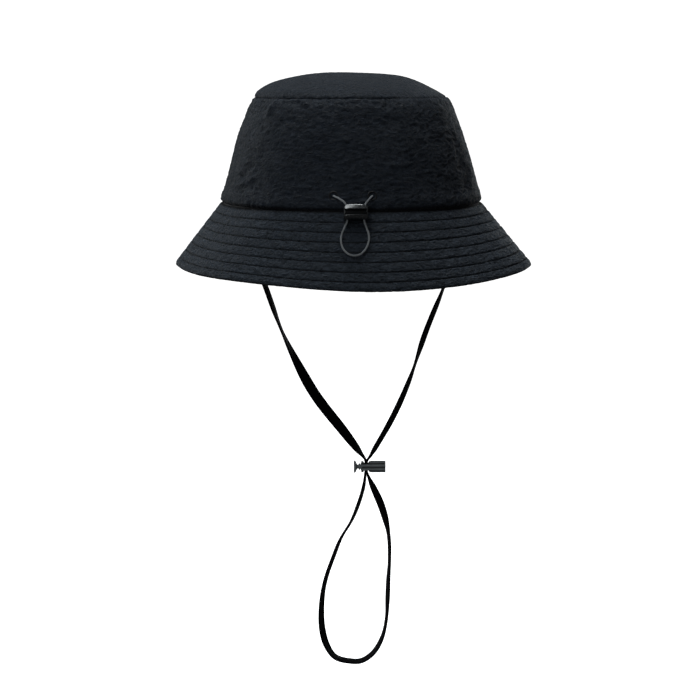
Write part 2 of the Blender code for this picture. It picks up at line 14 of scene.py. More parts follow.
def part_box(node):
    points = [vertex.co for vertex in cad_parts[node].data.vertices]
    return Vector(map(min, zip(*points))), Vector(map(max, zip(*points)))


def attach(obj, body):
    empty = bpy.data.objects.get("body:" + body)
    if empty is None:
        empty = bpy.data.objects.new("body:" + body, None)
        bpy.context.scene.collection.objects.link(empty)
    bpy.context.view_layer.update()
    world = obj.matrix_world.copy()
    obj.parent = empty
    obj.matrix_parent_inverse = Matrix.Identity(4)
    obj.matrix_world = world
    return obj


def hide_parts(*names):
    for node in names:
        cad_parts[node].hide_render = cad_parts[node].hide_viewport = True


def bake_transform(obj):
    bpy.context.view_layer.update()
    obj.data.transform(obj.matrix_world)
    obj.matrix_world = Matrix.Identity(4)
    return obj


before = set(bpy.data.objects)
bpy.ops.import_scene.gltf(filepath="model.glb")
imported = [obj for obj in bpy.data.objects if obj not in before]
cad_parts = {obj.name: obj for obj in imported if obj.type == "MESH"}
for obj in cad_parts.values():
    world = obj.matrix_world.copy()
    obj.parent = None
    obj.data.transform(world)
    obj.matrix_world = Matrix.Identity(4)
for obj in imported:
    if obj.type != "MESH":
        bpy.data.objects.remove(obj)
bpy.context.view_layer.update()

MM = 0.001
TAU = math.tau

# ---------------------------------------------------------------- the hat's driving sizes
wall_low, wall_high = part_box("crown_side_back")
tip_low, tip_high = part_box("crown_tip")
BASE_A, BASE_B = wall_high.x, -wall_low.y
TIP_A, TIP_B = tip_high.x, tip_high.y
WALL_HEIGHT, DOME_RISE = tip_low.z, tip_high.z - tip_low.z
BRIM_SIDE, BRIM_END = 52.0 * MM, 54.3 * MM
SLOPE_SIDE, SLOPE_END = math.radians(52.6), math.radians(64.5)
FIRST_ROW, ROW_PITCH = 7.5, 6.87  # millimetres from the seam, across the brim
STITCH_ROWS = [(FIRST_ROW + ROW_PITCH * row) / 54.3 for row in range(7)]  # shares of its width
BRIM_THICK = 3.0 * MM
STRAP_HOLE = Vector((10.6, 0, -183.8)) * MM  # where the chin strap passes through its lock
# How deep the faces of the inner layers lie inside the crown's outer face.
SHELL_BACK, TIP_BACK = 2.2 * MM, 2.4 * MM
LINING_BACK, LINING_TIP_BACK, LINING_FACE = 2.6 * MM, 2.7 * MM, 3.4 * MM
BAND_BACK, BAND_FACE, BAND_STITCHES = 4.2 * MM, 4.5 * MM, 4.85 * MM


# ---------------------------------------------------------------- numbers: noise and surfaces
class Noise:
    """Seeded gradient noise in three dimensions, for whole arrays of points."""

    def __init__(self, seed):
        random = np.random.default_rng(seed)
        self.order = np.tile(random.permutation(256), 2)
        directions = random.normal(size=(256, 3))
        self.slopes = directions / np.linalg.norm(directions, axis=1, keepdims=True)

    def __call__(self, points):
        cell = np.floor(points).astype(int)
        local = points - cell
        ease = local**3 * (local * (local * 6 - 15) + 10)
        total = np.zeros(points.shape[:-1])
        for step in np.ndindex(2, 2, 2):
            x, y, z = np.moveaxis((cell + step) & 255, -1, 0)
            slope = self.slopes[self.order[self.order[self.order[x] + y] + z]]
            share = np.where(step, ease, 1 - ease).prod(-1)
            total += (slope * (local - step)).sum(-1) * share
        return total * 1.5


broad, middling, fine, finest = (Noise(seed) for seed in (11, 23, 37, 53))


def smoothstep(low, high, value):
    share = np.clip((value - low) / (high - low), 0, 1)
    return share * share * (3 - 2 * share)


def mix(start, end, share):
    return start + (end - start) * share


def bump(value, width):
    """A soft ridge of height 1 at 0."""
    return np.exp(-((value / width) ** 2))


def at(*places):
    """Points made of an array or a number for each axis."""
    return np.stack(np.broadcast_arrays(*places), -1)


def crossed(surface, first, second, *depth):
    """A surface's points where two sets of places cross, and the places as grids."""
    grids = np.meshgrid(first, second, indexing="ij")
    return surface(*grids, *depth), *grids


def crinkle(points, size, flat=2.6):
    """Sharp-edged creases as crinkled nylon has, longer across the cloth than up it."""
    stretched = points / size * np.array([1 / flat, 1 / flat, 1.0])
    warp = np.stack([middling(stretched * 0.6 + shift) for shift in (3.1, 17.7, 41.3)], -1)
    warped = stretched + warp * 0.75
    ridges = 1 - np.abs(fine(warped)) * 2.4
    small = 1 - np.abs(finest(warped * 2.1 + 7.7)) * 2.2
    return 0.65 * np.clip(ridges, -1, 1) + 0.35 * np.clip(small, -1, 1)


def normals_of(grid, wrap):
    """Outward unit normals of a grid of points: rows run round the hat, columns up or out."""
    if wrap:
        around = np.roll(grid, -1, 0) - np.roll(grid, 1, 0)
    else:
        around = np.gradient(grid, axis=0)
    along = np.gradient(grid, axis=1)
    normal = np.cross(around, along)
    return normal / np.maximum(np.linalg.norm(normal, axis=-1, keepdims=True), 1e-12)


def crown_outline(angle, height, depth=0.0):
    """The crown's plain wall, depth inside its outer face."""
    rise = height / WALL_HEIGHT
    narrowing = 0.72 * rise + 0.28 * rise**3
    a = mix(BASE_A, TIP_A, narrowing) - depth
    b = mix(BASE_B, TIP_B, narrowing) - depth
    return np.stack([a * np.cos(angle), b * np.sin(angle), height - depth * 0.2], -1)


def brim_outline(angle, across, depth=0.0):
    """The brim's plain upper face, across it from 0 at the seam to 1 at the edge."""
    endward = np.sin(angle) ** 2
    slope = mix(SLOPE_SIDE, SLOPE_END, endward)
    outward = np.stack([np.cos(angle) / BASE_A, np.sin(angle) / BASE_B], -1)
    outward /= np.linalg.norm(outward, axis=-1, keepdims=True)
    width = mix(BRIM_SIDE, BRIM_END, endward) * across
    seam = crown_outline(angle, np.zeros_like(angle))
    flare = 3.6 * MM * bump((angle + 0.2 + math.pi) % TAU - math.pi, 0.6) * across
    sway = 2.6 * MM * bump(angle % TAU - 4.24, 0.55) * across**2
    out = width * np.cos(slope) - depth * np.sin(slope) + flare
    down = width * np.sin(slope) + depth * np.cos(slope) + 0.3 * MM - sway
    flat = seam[..., :2] + outward * out[..., None]
    return np.concatenate([flat, -down[..., None]], -1)


# ---------------------------------------------------------------- mesh helpers
def new_object(name, data):
    thing = bpy.data.objects.new(name, data)
    bpy.context.collection.objects.link(thing)
    return thing


def point_at(thing, place, aim):
    """Puts a camera or a light at a place and turns it to look at another."""
    thing.location = place
    thing.rotation_euler = (aim - thing.location).to_track_quat("-Z", "Y").to_euler()


def mesh_piece(name, points, faces, smooth=True):
    mesh = bpy.data.meshes.new(name)
    mesh.from_pydata([tuple(p) for p in points], [], faces)
    mesh.update()
    piece = new_object(name, mesh)
    if smooth:
        mesh.shade_smooth()
    return piece


def grid_faces(rows, columns, wrap_rows, wrap_columns):
    row = np.arange(rows if wrap_rows else rows - 1)[:, None]
    column = np.arange(columns if wrap_columns else columns - 1)[None, :]
    row, column = np.broadcast_arrays(row, column)
    next_row, next_column = (row + 1) % rows, (column + 1) % columns
    corners = [(row, column), (next_row, column), (next_row, next_column), (row, next_column)]
    return np.stack([r * columns + c for r, c in corners], -1).reshape(-1, 4).tolist()


def wrapped_solid(name, grid, wrap_rows):
    """A closed solid from a grid whose columns go once round its section."""
    rows, columns, _ = grid.shape
    faces = grid_faces(rows, columns, wrap_rows, True)
    if not wrap_rows:
        faces.append(list(range(columns))[::-1])
        faces.append([(rows - 1) * columns + c for c in range(columns)])
    piece = mesh_piece(name, grid.reshape(-1, 3), faces)
    face_outward(piece)
    return piece


def face_outward(piece):
    work = bmesh.new()
    work.from_mesh(piece.data)
    bmesh.ops.recalc_face_normals(work, faces=work.faces)
    work.to_mesh(piece.data)
    work.free()


def add_uv(piece, places):
    """Gives each corner the (u, v) listed for its vertex."""
    layer = piece.data.uv_layers.new(name="cloth")
    loops = np.zeros(len(piece.data.loops), int)
    piece.data.loops.foreach_get("vertex_index", loops)
    layer.data.foreach_set("uv", np.asarray(places)[loops].astype(np.float32).ravel())


# ---------------------------------------------------------------- materials
class Nodes:
    """Short names for building one material's nodes."""

    def __init__(self, name, colour, roughness, metallic=0.0, **sockets):
        self.material = bpy.data.materials.new(name)
        self.material.use_nodes = True
        self.tree = self.material.node_tree
        self.shader = self.tree.nodes["Principled BSDF"]
        self.set("Base Color", (*colour, 1.0))
        self.set("Roughness", roughness)
        self.set("Metallic", metallic)
        for socket, value in sockets.items():
            self.set(socket.replace("_", " "), value)

    def set(self, socket, value):
        self.shader.inputs[socket].default_value = value

    def add(self, kind, **settings):
        node = self.tree.nodes.new(kind)
        for key, value in settings.items():
            if key.startswith("in_"):
                node.inputs[key[3:].replace("_", " ")].default_value = value
            else:
                setattr(node, key, value)
        return node

    def link(self, output, socket):
        self.tree.links.new(output, socket)

    def split(self, source):
        """A surface's own coordinates, one by one."""
        parts = self.add("ShaderNodeSeparateXYZ")
        self.link(self.add("ShaderNodeTexCoord").outputs[source], parts.inputs["Vector"])
        return [parts.outputs[axis] for axis in "XYZ"]

    def noise(self, scale, detail=3.0, roughness=0.55, distortion=0.0):
        """Noise at one scale, or at one for each axis."""
        scale = scale if isinstance(scale, tuple) else (scale,) * 3
        mapping = self.add("ShaderNodeMapping", in_Scale=scale)
        self.link(self.add("ShaderNodeTexCoord").outputs["Object"], mapping.inputs["Vector"])
        node = self.add("ShaderNodeTexNoise", in_Scale=1.0, in_Detail=detail,
                        in_Roughness=roughness, in_Distortion=distortion)
        self.link(mapping.outputs["Vector"], node.inputs["Vector"])
        return node.outputs["Fac"]

    def math(self, operation, *values):
        node = self.add("ShaderNodeMath", operation=operation)
        for socket, value in zip(node.inputs, values):
            if isinstance(value, (int, float)):
                socket.default_value = value
            else:
                self.link(value, socket)
        return node.outputs["Value"]

    def ramp(self, value, low, high, to_low=0.0, to_high=1.0):
        node = self.add("ShaderNodeMapRange", clamp=True)
        for name, number in (("From Min", low), ("From Max", high),
                             ("To Min", to_low), ("To Max", to_high)):
            node.inputs[name].default_value = number
        self.link(value, node.inputs["Value"])
        return node.outputs["Result"]

    def colour(self, value, dark, light):
        node = self.add("ShaderNodeMix", data_type="RGBA")
        node.inputs["A"].default_value = (*dark, 1.0)
        node.inputs["B"].default_value = (*light, 1.0)
        self.link(value, node.inputs["Factor"])
        self.link(node.outputs["Result"], self.shader.inputs["Base Color"])

    def rough(self, value, low, high, start=0.3, end=0.7):
        """Roughness from low to high as the value goes from start to end."""
        self.link(self.ramp(value, start, end, low, high), self.shader.inputs["Roughness"])

    def bump(self, height, distance, strength=1.0, below=None):
        node = self.add("ShaderNodeBump", in_Strength=strength, in_Distance=distance)
        self.link(height, node.inputs["Height"])
        if below is not None:
            self.link(below, node.inputs["Normal"])
        self.link(node.outputs["Normal"], self.shader.inputs["Normal"])
        return node.outputs["Normal"]


def nylon_material(name, crease_scale, crease_height, light=(0.0138, 0.0187, 0.0275),
                   quilted=False):
    """Crinkled black nylon: fine plain weave, small creases, and a faint sheen at the edges.

    Quilted cloth is darker along each stitch row: painted shade where the thread pulls it in.
    All cloth is darker where it turns in to the seam between the crown and the brim: painted
    shade. The colour is also lighter on the crease crests and darker in their lines: painted
    light and shade.
    """
    n = Nodes(name, (0.007, 0.0085, 0.011), 0.55, Sheen_Weight=0.035,
              Sheen_Roughness=0.4, Sheen_Tint=(0.75, 0.85, 1.0, 1.0), Specular_IOR_Level=0.12)
    creases = n.noise(crease_scale, 3.0, 0.6, 1.1)
    sharp = n.math("ABSOLUTE", n.math("SUBTRACT", creases, 0.5))
    small = n.bump(sharp, crease_height)
    n.bump(n.noise(3400, 1.0, 0.5), 0.00012, 0.55, below=small)
    patches = n.noise((45, 45, 70), 4.0, 0.6)
    # painted light and shade on the creases, times random tone patches
    shade = n.math("MULTIPLY", n.ramp(patches, 0.0, 1.0, 0.71, 1.0),
                   n.ramp(creases, 0.34, 0.66, 0.62, 1.32))
    if quilted:
        across = n.split("UV")[1]
        row = n.math("DIVIDE", n.math("SUBTRACT", across, FIRST_ROW), ROW_PITCH)
        off_row = n.math("ABSOLUTE", n.math("SUBTRACT", row, n.math("ROUND", row)))
        # painted shade along each stitch row
        line = n.ramp(off_row, 0.15 / ROW_PITCH, 0.7 / ROW_PITCH, 0.3, 1.0)
        shade = n.math("MULTIPLY", shade, line)
        # painted shade next to the seam
        seam_painted_shade = n.ramp(across, 0.4, 2.2, 0.3, 1.0)
    else:
        # painted shade: darker towards the bottom of the wall, next to the seam
        seam_painted_shade = n.ramp(n.split("Object")[2], 0.6 * MM, 2.4 * MM, 0.25, 1.0)
    n.colour(n.math("MULTIPLY", shade, seam_painted_shade), (0, 0, 0), light)
    n.rough(creases, 0.48, 0.66)
    return n.material


def thread_material():
    n = Nodes("sewing_thread", (0.003, 0.003, 0.004), 0.6, Specular_IOR_Level=0.15)
    twist = n.noise(2600, 2.0)
    n.bump(twist, 0.0001, 0.5)
    n.colour(twist, (0.0025, 0.0028, 0.0036), (0.006, 0.007, 0.009))
    return n.material


def lining_material():
    """Smooth black lining with a fine plain weave."""
    n = Nodes("lining_weave", (0.011, 0.012, 0.014), 0.6, Sheen_Weight=0.15)
    soft = n.noise((60, 60, 35))
    below = n.bump(soft, 0.0015, 0.4)
    n.bump(n.noise((1900, 1900, 2600), 1.5), 0.00015, 0.6, below=below)
    n.colour(soft, (0.009, 0.01, 0.012), (0.014, 0.015, 0.018))
    return n.material


def sweatband_material():
    """Matt twill band: fine diagonal ribs."""
    n = Nodes("sweatband_twill", (0.012, 0.013, 0.015), 0.8, Sheen_Weight=0.2)
    wave = n.add("ShaderNodeTexWave", wave_type="BANDS", bands_direction="DIAGONAL",
                 in_Scale=260.0, in_Distortion=0.4, in_Detail=1.0)
    n.link(n.add("ShaderNodeTexCoord").outputs["Object"], wave.inputs["Vector"])
    n.bump(wave.outputs["Fac"], 0.0002, 0.6)
    n.colour(n.noise(900), (0.009, 0.01, 0.012), (0.017, 0.018, 0.02))
    return n.material


def stiffener_material():
    n = Nodes("stiffener_felt", (0.05, 0.05, 0.05), 0.9)
    fibre = n.noise(700, 5.0, 0.7)
    n.bump(fibre, 0.0002, 0.7)
    n.colour(fibre, (0.035, 0.035, 0.035), (0.07, 0.07, 0.07))
    return n.material


def lacquer_material():
    """Black lacquer over metal, for the eyelets and washers."""
    n = Nodes("black_lacquer", (0.0022, 0.0025, 0.0035), 0.35, Coat_Weight=0.06, Coat_Roughness=0.25,
              Specular_IOR_Level=0.26)
    wear = n.noise(500, 4.0, 0.65)
    n.rough(wear, 0.32, 0.5, 0.35, 0.75)
    n.bump(wear, 0.00006, 0.3)
    return n.material


def plastic_material(name, dark, light, roughness, specular=0.5, flute_shade_about=None):
    """Moulded satin plastic with a faint grain, and painted shade in flutes cut about a level axis.
    """
    n = Nodes(name, dark, roughness, Specular_IOR_Level=specular)
    grain = n.noise(1500, 3.0, 0.6)
    flow = n.noise((160, 260, 260), 2.0)
    n.bump(grain, 0.00004, 0.5)
    if flute_shade_about is not None:
        # painted shade: darker inside the flutes, towards the barrel's axis
        _, deep, high = n.split("Object")
        up = n.math("SUBTRACT", high, flute_shade_about)
        square = n.math("ADD", n.math("POWER", deep, 2.0), n.math("POWER", up, 2.0))
        flow = n.math("MULTIPLY", n.ramp(flow, 0.3, 0.7, 0.85, 1.0),
                      n.ramp(n.math("SQRT", square), 3.5 * MM, 4.15 * MM))
    n.colour(flow, dark, light)
    n.rough(grain, roughness - 0.05, roughness + 0.07)
    return n.material


def steel_material():
    n = Nodes("spring_wire", (0.55, 0.55, 0.56), 0.28, 1.0)
    n.rough(n.noise(900), 0.2, 0.36)
    return n.material


def elastic_material():
    """Braided elastic: slanting plaits that cross, read from the cord's own coordinates."""
    n = Nodes("braided_elastic", (0.05, 0.054, 0.06), 0.5, Sheen_Weight=0.25,
              Sheen_Roughness=0.4)
    distance, turn, _ = n.split("UV")
    along = n.math("MULTIPLY", distance, TAU / 1.1)
    around = n.math("MULTIPLY", turn, TAU * 5)
    one = n.math("SINE", n.math("ADD", along, around))
    other = n.math("SINE", n.math("SUBTRACT", along, around))
    plait = n.math("MAXIMUM", one, other)
    n.bump(n.ramp(plait, -0.4, 1.0), 0.00022, 0.9)
    n.colour(n.ramp(plait, -0.2, 1.0), (0.11, 0.118, 0.13), (0.30, 0.315, 0.335))
    return n.material


def tape_material():
    """Narrow woven tape: crosswise ribs with a herringbone slant, painted highlights at the
    selvedges.
    """
    n = Nodes("woven_tape", (0.003, 0.003, 0.004), 0.6, Specular_IOR_Level=0.05)
    distance, sideways, _ = n.split("UV")
    across = n.math("ABSOLUTE", sideways)
    slanted = n.math("ADD", distance, n.math("MULTIPLY", across, 0.55))
    ribs = n.math("SINE", n.math("MULTIPLY", slanted, TAU / 0.75))
    ends = n.math("SINE", n.math("MULTIPLY", sideways, TAU / 0.55))
    cloth = n.math("MULTIPLY", n.ramp(ribs, -1, 1), n.ramp(ends, -1, 1, 0.6, 1.0))
    n.bump(cloth, 0.0002, 0.8)
    # painted highlights: the rib crests grow lighter towards the selvedges
    edge = n.ramp(across, 3.2, 4.0)
    shade = n.math("ADD", n.math("MULTIPLY", cloth, 0.45), n.math("MULTIPLY", edge, cloth))
    n.colour(shade, (0.0006, 0.0007, 0.0014), (0.0055, 0.006, 0.0105))
    return n.material


nylon = nylon_material("crinkled_nylon", (230, 230, 560), 0.0046)
tip_nylon = nylon_material("crinkled_nylon_tip", (260, 420, 420), 0.0048)
brim_nylon = nylon_material("crinkled_nylon_brim", (230, 230, 520), 0.0066,
                            (0.0295, 0.0378, 0.0505), True)
thread = thread_material()
lining = lining_material()
sweatband = sweatband_material()
lacquer = lacquer_material()
steel = steel_material()
elastic = elastic_material()
tape = tape_material()
lock_plastic = plastic_material("lock_plastic_moulded", (0.004, 0.0055, 0.0072),
                                (0.006, 0.008, 0.0102), 0.23, 0.95)
plunger_plastic = plastic_material("plunger_plastic_moulded", (0.24, 0.262, 0.28),
                                   (0.33, 0.36, 0.385), 0.36)
# the barrel reaches its dark colour in the flutes: painted shade
barrel_plastic = plastic_material("barrel_plastic_moulded", (0.05, 0.055, 0.06),
                                  (0.36, 0.39, 0.415), 0.36, flute_shade_about=STRAP_HOLE.z)
# the push button's black plastic, darkened further as painted shade of its recess
button_plastic = plastic_material("button_plastic_moulded", (0.0015, 0.0016, 0.002),
                                  (0.0025, 0.0026, 0.003), 0.7, 0.08)


def finish_piece(piece, body, material, slot, *nodes):
    piece.data.materials.clear()
    piece.data.materials.append(material)
    if nodes:
        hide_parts(*nodes)
    if body:
        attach(piece, body)


# ---------------------------------------------------------------- camera, first of the making
CAMERA_AWAY, CAMERA_UP = 1500 * MM, 97 * MM
CAMERA_TURN = math.radians(0.67)
AIM = Vector((-0.68 * MM, 0.0, -102.3 * MM))
LENS = 113.1


def add_camera():
    data = bpy.data.cameras.new("camera")
    data.lens = LENS
    data.sensor_width = 36.0
    data.clip_start, data.clip_end = 0.05, 50.0
    camera = new_object("camera", data)
    place = (AIM.x - CAMERA_AWAY * math.sin(CAMERA_TURN),
             -CAMERA_AWAY * math.cos(CAMERA_TURN), CAMERA_UP)
    point_at(camera, place, AIM)
    bpy.context.scene.camera = camera


# ---------------------------------------------------------------- paths of cords
def smooth_path(points, per_span=12):
    """Points along a Catmull-Rom curve through the given ones."""
    points = [Vector(p) for p in points]
    padded = [points[0] * 2 - points[1], *points, points[-1] * 2 - points[-2]]
    path = []
    for before, start, end, after in zip(padded, padded[1:], padded[2:], padded[3:]):
        for step in range(per_span):
            u = step / per_span
            path.append(0.5 * (2 * start + (end - before) * u
                               + (2 * before - 5 * start + 4 * end - after) * u * u
                               + (3 * start - before - 3 * end + after) * u**3))
    path.append(points[-1].copy())
    return path


def travelled(path):
    """The distance along a path at each of its points."""
    return np.concatenate([[0], np.cumsum(np.linalg.norm(np.diff(path, axis=0), axis=1))])


def evenly_spaced(path, spacing):
    """The same path with its points a fixed distance apart, and its length."""
    path = np.array([tuple(p) for p in path])
    lengths = travelled(path)
    count = max(2, round(lengths[-1] / spacing))
    wanted = np.linspace(0, lengths[-1], count + 1)
    return np.stack([np.interp(wanted, lengths, path[:, i]) for i in range(3)], -1), lengths[-1]


def unit(vectors):
    return vectors / np.linalg.norm(vectors, axis=-1, keepdims=True)


BACK = math.pi * 1.5  # the angle round the hat of the middle of its back


def crown_frame(side):
    """An eyelet's centre on the crown, and the wall's outward normal there."""
    spacing, height = 24.7 * MM, 9.7 * MM
    angle = np.array(BACK)
    for _ in range(8):
        point = crown_outline(angle, np.array(height))
        angle = angle + (side * spacing / 2 - point[0]) / BASE_A
    small = 1e-4
    around = crown_outline(angle + small, height) - crown_outline(angle - small, height)
    upward = crown_outline(angle, height + small) - crown_outline(angle, height - small)
    return Vector(crown_outline(angle, np.array(height))), Vector(unit(np.cross(around, upward)))


LOCK_X = 1.7 * MM
LOCK_FRAME = (
    Matrix.Translation((LOCK_X, -BASE_B, 0)) @ Matrix.Rotation(SLOPE_END - math.pi / 2, 4, "X")
)


def on_brim(across, out, up):
    """A point in millimetres across, out from the hat, and up the back brim's slope."""
    return LOCK_FRAME @ (Vector((across, -out, up)) * MM)


CORD_D = 1.15 * MM


def drawcord_route():
    left = [(-8.6, 4.3, 5.9), (-6.2, 4.3, 3.0), (-5.4, 4.1, 0.2), (-5.4, 4.1, -7.6),
            (-6.6, 3.4, -10.9), (-8.5, 2.2, -15.2), (-9.4, 1.7, -19.6), (-8.9, 1.6, -23.6),
            (-7.2, 1.6, -27.2)]
    right = [(8.1, 4.4, 6.0), (6.1, 4.3, 3.0), (5.4, 4.1, 0.2), (5.4, 4.1, -7.6),
             (6.4, 3.4, -11.0), (7.9, 2.2, -15.2), (8.4, 1.7, -19.0), (7.7, 1.6, -22.8),
             (6.0, 1.6, -26.4)]
    bottom = [(-4.3, 1.6, -29.7), (-0.6, 1.6, -30.6), (3.2, 1.6, -29.4)]

    def strand(side, places):
        centre, normal = crown_frame(side)
        towards = on_brim(*places[0]) - centre
        towards = (towards - normal * towards.dot(normal)).normalized()
        inside_out = [(-1.0, -3.0), (-0.4, -1.2), (0.2, 0.6), (1.1, 1.9)]
        start = [centre + (towards * t + normal * n) * MM for t, n in inside_out]
        return start + [on_brim(*place) for place in places]

    turn = [on_brim(*place) for place in bottom]
    return strand(-1, left) + turn + list(reversed(strand(1, right)))


PINCH_W, PINCH_T, TAPE_W, TAPE_T = 2.4 * MM, 1.0 * MM, 8.0 * MM, 1.3 * MM
STRAP_APART = 0.6 * MM  # half the distance between the two tapes inside the lock


def strap_routes():
    """Each stretch of the chin strap: its points, and its twist in degrees at each height."""
    legs = {
        "left": (-1, [(-78.4, 0, -11), (-69.5, -1, -32), (-59.0, -2, -57.1), (-45.1, -3, -94.1),
                      (-26.3, -3, -130.4), (-5.1, -2, -158.6), (7.3, 0, -175.0)],
                 [(-11, 0), (-35, 16), (-64, 22), (-74, 20), (-82, 9), (-90, 5), (-98, 18),
                  (-106, 30), (-114, 44), (-123, 58), (-140, 60), (-152, 56), (-163, 46),
                  (-171, 30), (-180, 0)]),
        "right": (1, [(79.0, 0, -11), (71.9, 1, -32), (63.7, 2, -59.1), (51.1, 3, -91.5),
                      (40.2, 3, -124.1), (29.0, 2, -149.5), (15.2, 0, -173.5)],
                  [(-11, 0), (-40, 14), (-62, 14), (-72, 28), (-98, 32), (-107, 18), (-114, 11),
                   (-124, 26), (-140, 34), (-155, 34), (-163, 30), (-172, 29), (-180, 10)]),
    }
    routes = {}
    for name, (side, free, twist) in legs.items():
        angle = np.array(0.0 if side > 0 else math.pi)
        sewn = [Vector(crown_outline(angle, np.array(h * MM), 6.3 * MM)) for h in (12, 7, 2)]
        x = STRAP_HOLE.x + side * STRAP_APART
        ends = [Vector((x, 0, STRAP_HOLE.z + rise * MM)) for rise in (4.2, 0.15)]
        routes[name] = (sewn + [Vector(p) * MM for p in free] + ends, twist, twist, (1.0,))
    loop = [(8.6, -1, -198.0), (5.2, -2, -209.5), (0.3, -3, -221.4), (-7.2, -3, -234.0),
            (-12.6, -3, -247.6), (-17.0, -3, -260.3), (-19.7, -2, -273.0), (-20.8, -2, -287.7),
            (-20.0, -1, -300.0), (-16.9, 0, -311.0), (-10.6, 1, -319.8), (0.4, 1, -322.6),
            (8.4, 1, -321.8), (16.2, 1, -315.8), (21.8, 1, -305.6), (24.6, 2, -293.3),
            (25.5, 2, -278.7), (26.1, 3, -265.0), (26.9, 3, -251.3), (26.7, 3, -236.8),
            (24.7, 2, -224.1), (21.1, 2, -211.5), (15.8, 1, -198.9)]
    low = [STRAP_HOLE + Vector((-STRAP_APART, 0, -drop * MM)) for drop in (0.15, 4.4)]
    high = [STRAP_HOLE + Vector((STRAP_APART, 0, -drop * MM)) for drop in (4.4, 0.15)]
    down = [(-186, 4), (-197, 16), (-205, 18), (-213, 20), (-222, 14), (-232, 14), (-240, 20),
            (-270, 21), (-279, 25), (-290, 29), (-304, 31), (-312, 26), (-323, 10)]
    up = [(-323, 10), (-312, 14), (-300, 8), (-290, 8), (-279, 18), (-268, 18), (-255, 9),
          (-238, 13), (-230, 14), (-222, 34), (-213, 40), (-205, 42), (-197, 32), (-189, 12),
          (-184, 0)]
    routes["loop"] = (low + [Vector(p) * MM for p in loop] + high, down, up, (0.0, 1.0))
    return routes


def circle(sides):
    """Cosines and sines of even turns, each as a column."""
    turns = np.arange(sides)[:, None] / sides * TAU
    return np.cos(turns), np.sin(turns)


def tube_piece(name, path, radius, sides=14):
    """A round cord whose coordinates are millimetres along it and turns round it."""
    tangents = unit(np.gradient(path, axis=0))
    side = np.cross(tangents[0], [0.3, 0.2, 0.93])
    cos, sin = circle(sides)
    rows, coordinates = [], []
    for point, tangent, distance in zip(path, tangents, travelled(path)):
        side = side - tangent * np.dot(side, tangent)
        side /= np.linalg.norm(side)
        up = np.cross(tangent, side)
        rows.append(point + (cos * side + sin * up) * radius)
        coordinates += [(distance / MM, abs(2 * turn / sides - 1)) for turn in range(sides)]
    piece = wrapped_solid(name, np.array(rows), False)
    add_uv(piece, coordinates)
    return piece


def add_drawcord():
    path, length = evenly_spaced(smooth_path(drawcord_route()), 0.6 * MM)
    piece = tube_piece("drawcord_loop_elastic", path, CORD_D / 2)
    finish_piece(piece, None, elastic, "elastic_cord", "drawcord_loop")
    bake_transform(piece)
    return piece, path, length


def twist_along(path, down, up):
    """The tape's twist in radians at each point, from tables of (height in mm, degrees)."""
    lowest = int(np.argmin(path[:, 2]))
    degrees = np.zeros(len(path))
    for part, table in ((np.s_[: lowest + 1], down), (np.s_[lowest + 1 :], up)):
        table = np.array(sorted(table))
        degrees[part] = np.interp(path[part, 2] / MM, table[:, 0], table[:, 1])
    smoothing = np.hanning(17) / np.hanning(17).sum()
    return np.convolve(np.pad(np.radians(degrees), 8, mode="edge"), smoothing, mode="valid")


def tape_piece(name, route, down, up, pinched_ends):
    """The woven tape: flat and softly curled, gathered where the lock squeezes it."""
    spacing = 1.0 * MM
    path, length = evenly_spaced(smooth_path(route), spacing)
    count = len(path)
    tangents = unit(np.gradient(path, axis=0))
    distance = np.arange(count) * spacing
    openness, bunching = np.ones(count), np.zeros(count)
    for end in pinched_ends:
        away = distance if end == 0.0 else distance[-1] - distance
        openness = np.minimum(openness, smoothstep(3 * MM, 15 * MM, away))
        bunching = np.maximum(bunching, bump(away - 8 * MM, 5 * MM))
    angle = twist_along(path, down, up)
    side = unit(np.array([0, 1.0, 0]) - tangents * tangents[:, 1:2])
    face = np.cross(tangents, side)
    wide = side * np.cos(angle)[:, None] + face * np.sin(angle)[:, None]
    thick = np.cross(tangents, wide)
    half_w = mix(PINCH_W, TAPE_W, openness) / 2
    half_t = mix(PINCH_T, TAPE_T, openness) / 2 + 0.2 * MM * bunching
    curl = 0.35 * MM * openness * middling(path / (45 * MM) + 4.0)
    folds = 0.22 * MM * (1 - openness)
    stations = [-1.0, -0.97, -0.85, -0.6, -0.3, 0.0, 0.3, 0.6, 0.85, 0.97, 1.0]
    section = [(s, 1) for s in stations] + [(s, -1) for s in stations[-2:0:-1]]
    rows = np.zeros((count, len(section), 3))
    for column, (s, face_side) in enumerate(section):
        edge = math.sqrt(max(0.0, 1 - abs(s) ** 8))
        lift = curl * s * s + folds * math.cos(s * 3 * math.pi) + half_t * face_side * edge
        rows[:, column] = path + wide * (half_w * s)[:, None] + thick * lift[:, None]
    piece = wrapped_solid(name, rows, False)
    add_uv(piece, [(along / MM, s * 4.0) for along in distance for s, _ in section])
    return piece, path, length


add_camera()
drawcord = add_drawcord()
straps = {}
for strap_name, strap_route in strap_routes().items():
    straps[strap_name] = tape_piece("chin_strap_" + strap_name + "_tape", *strap_route)
    finish_piece(straps[strap_name][0], None, tape, "strap_webbing", "chin_strap_" + strap_name)
for strap_name in ("left", "right"):
    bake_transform(straps[strap_name][0])
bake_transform(straps["loop"][0])


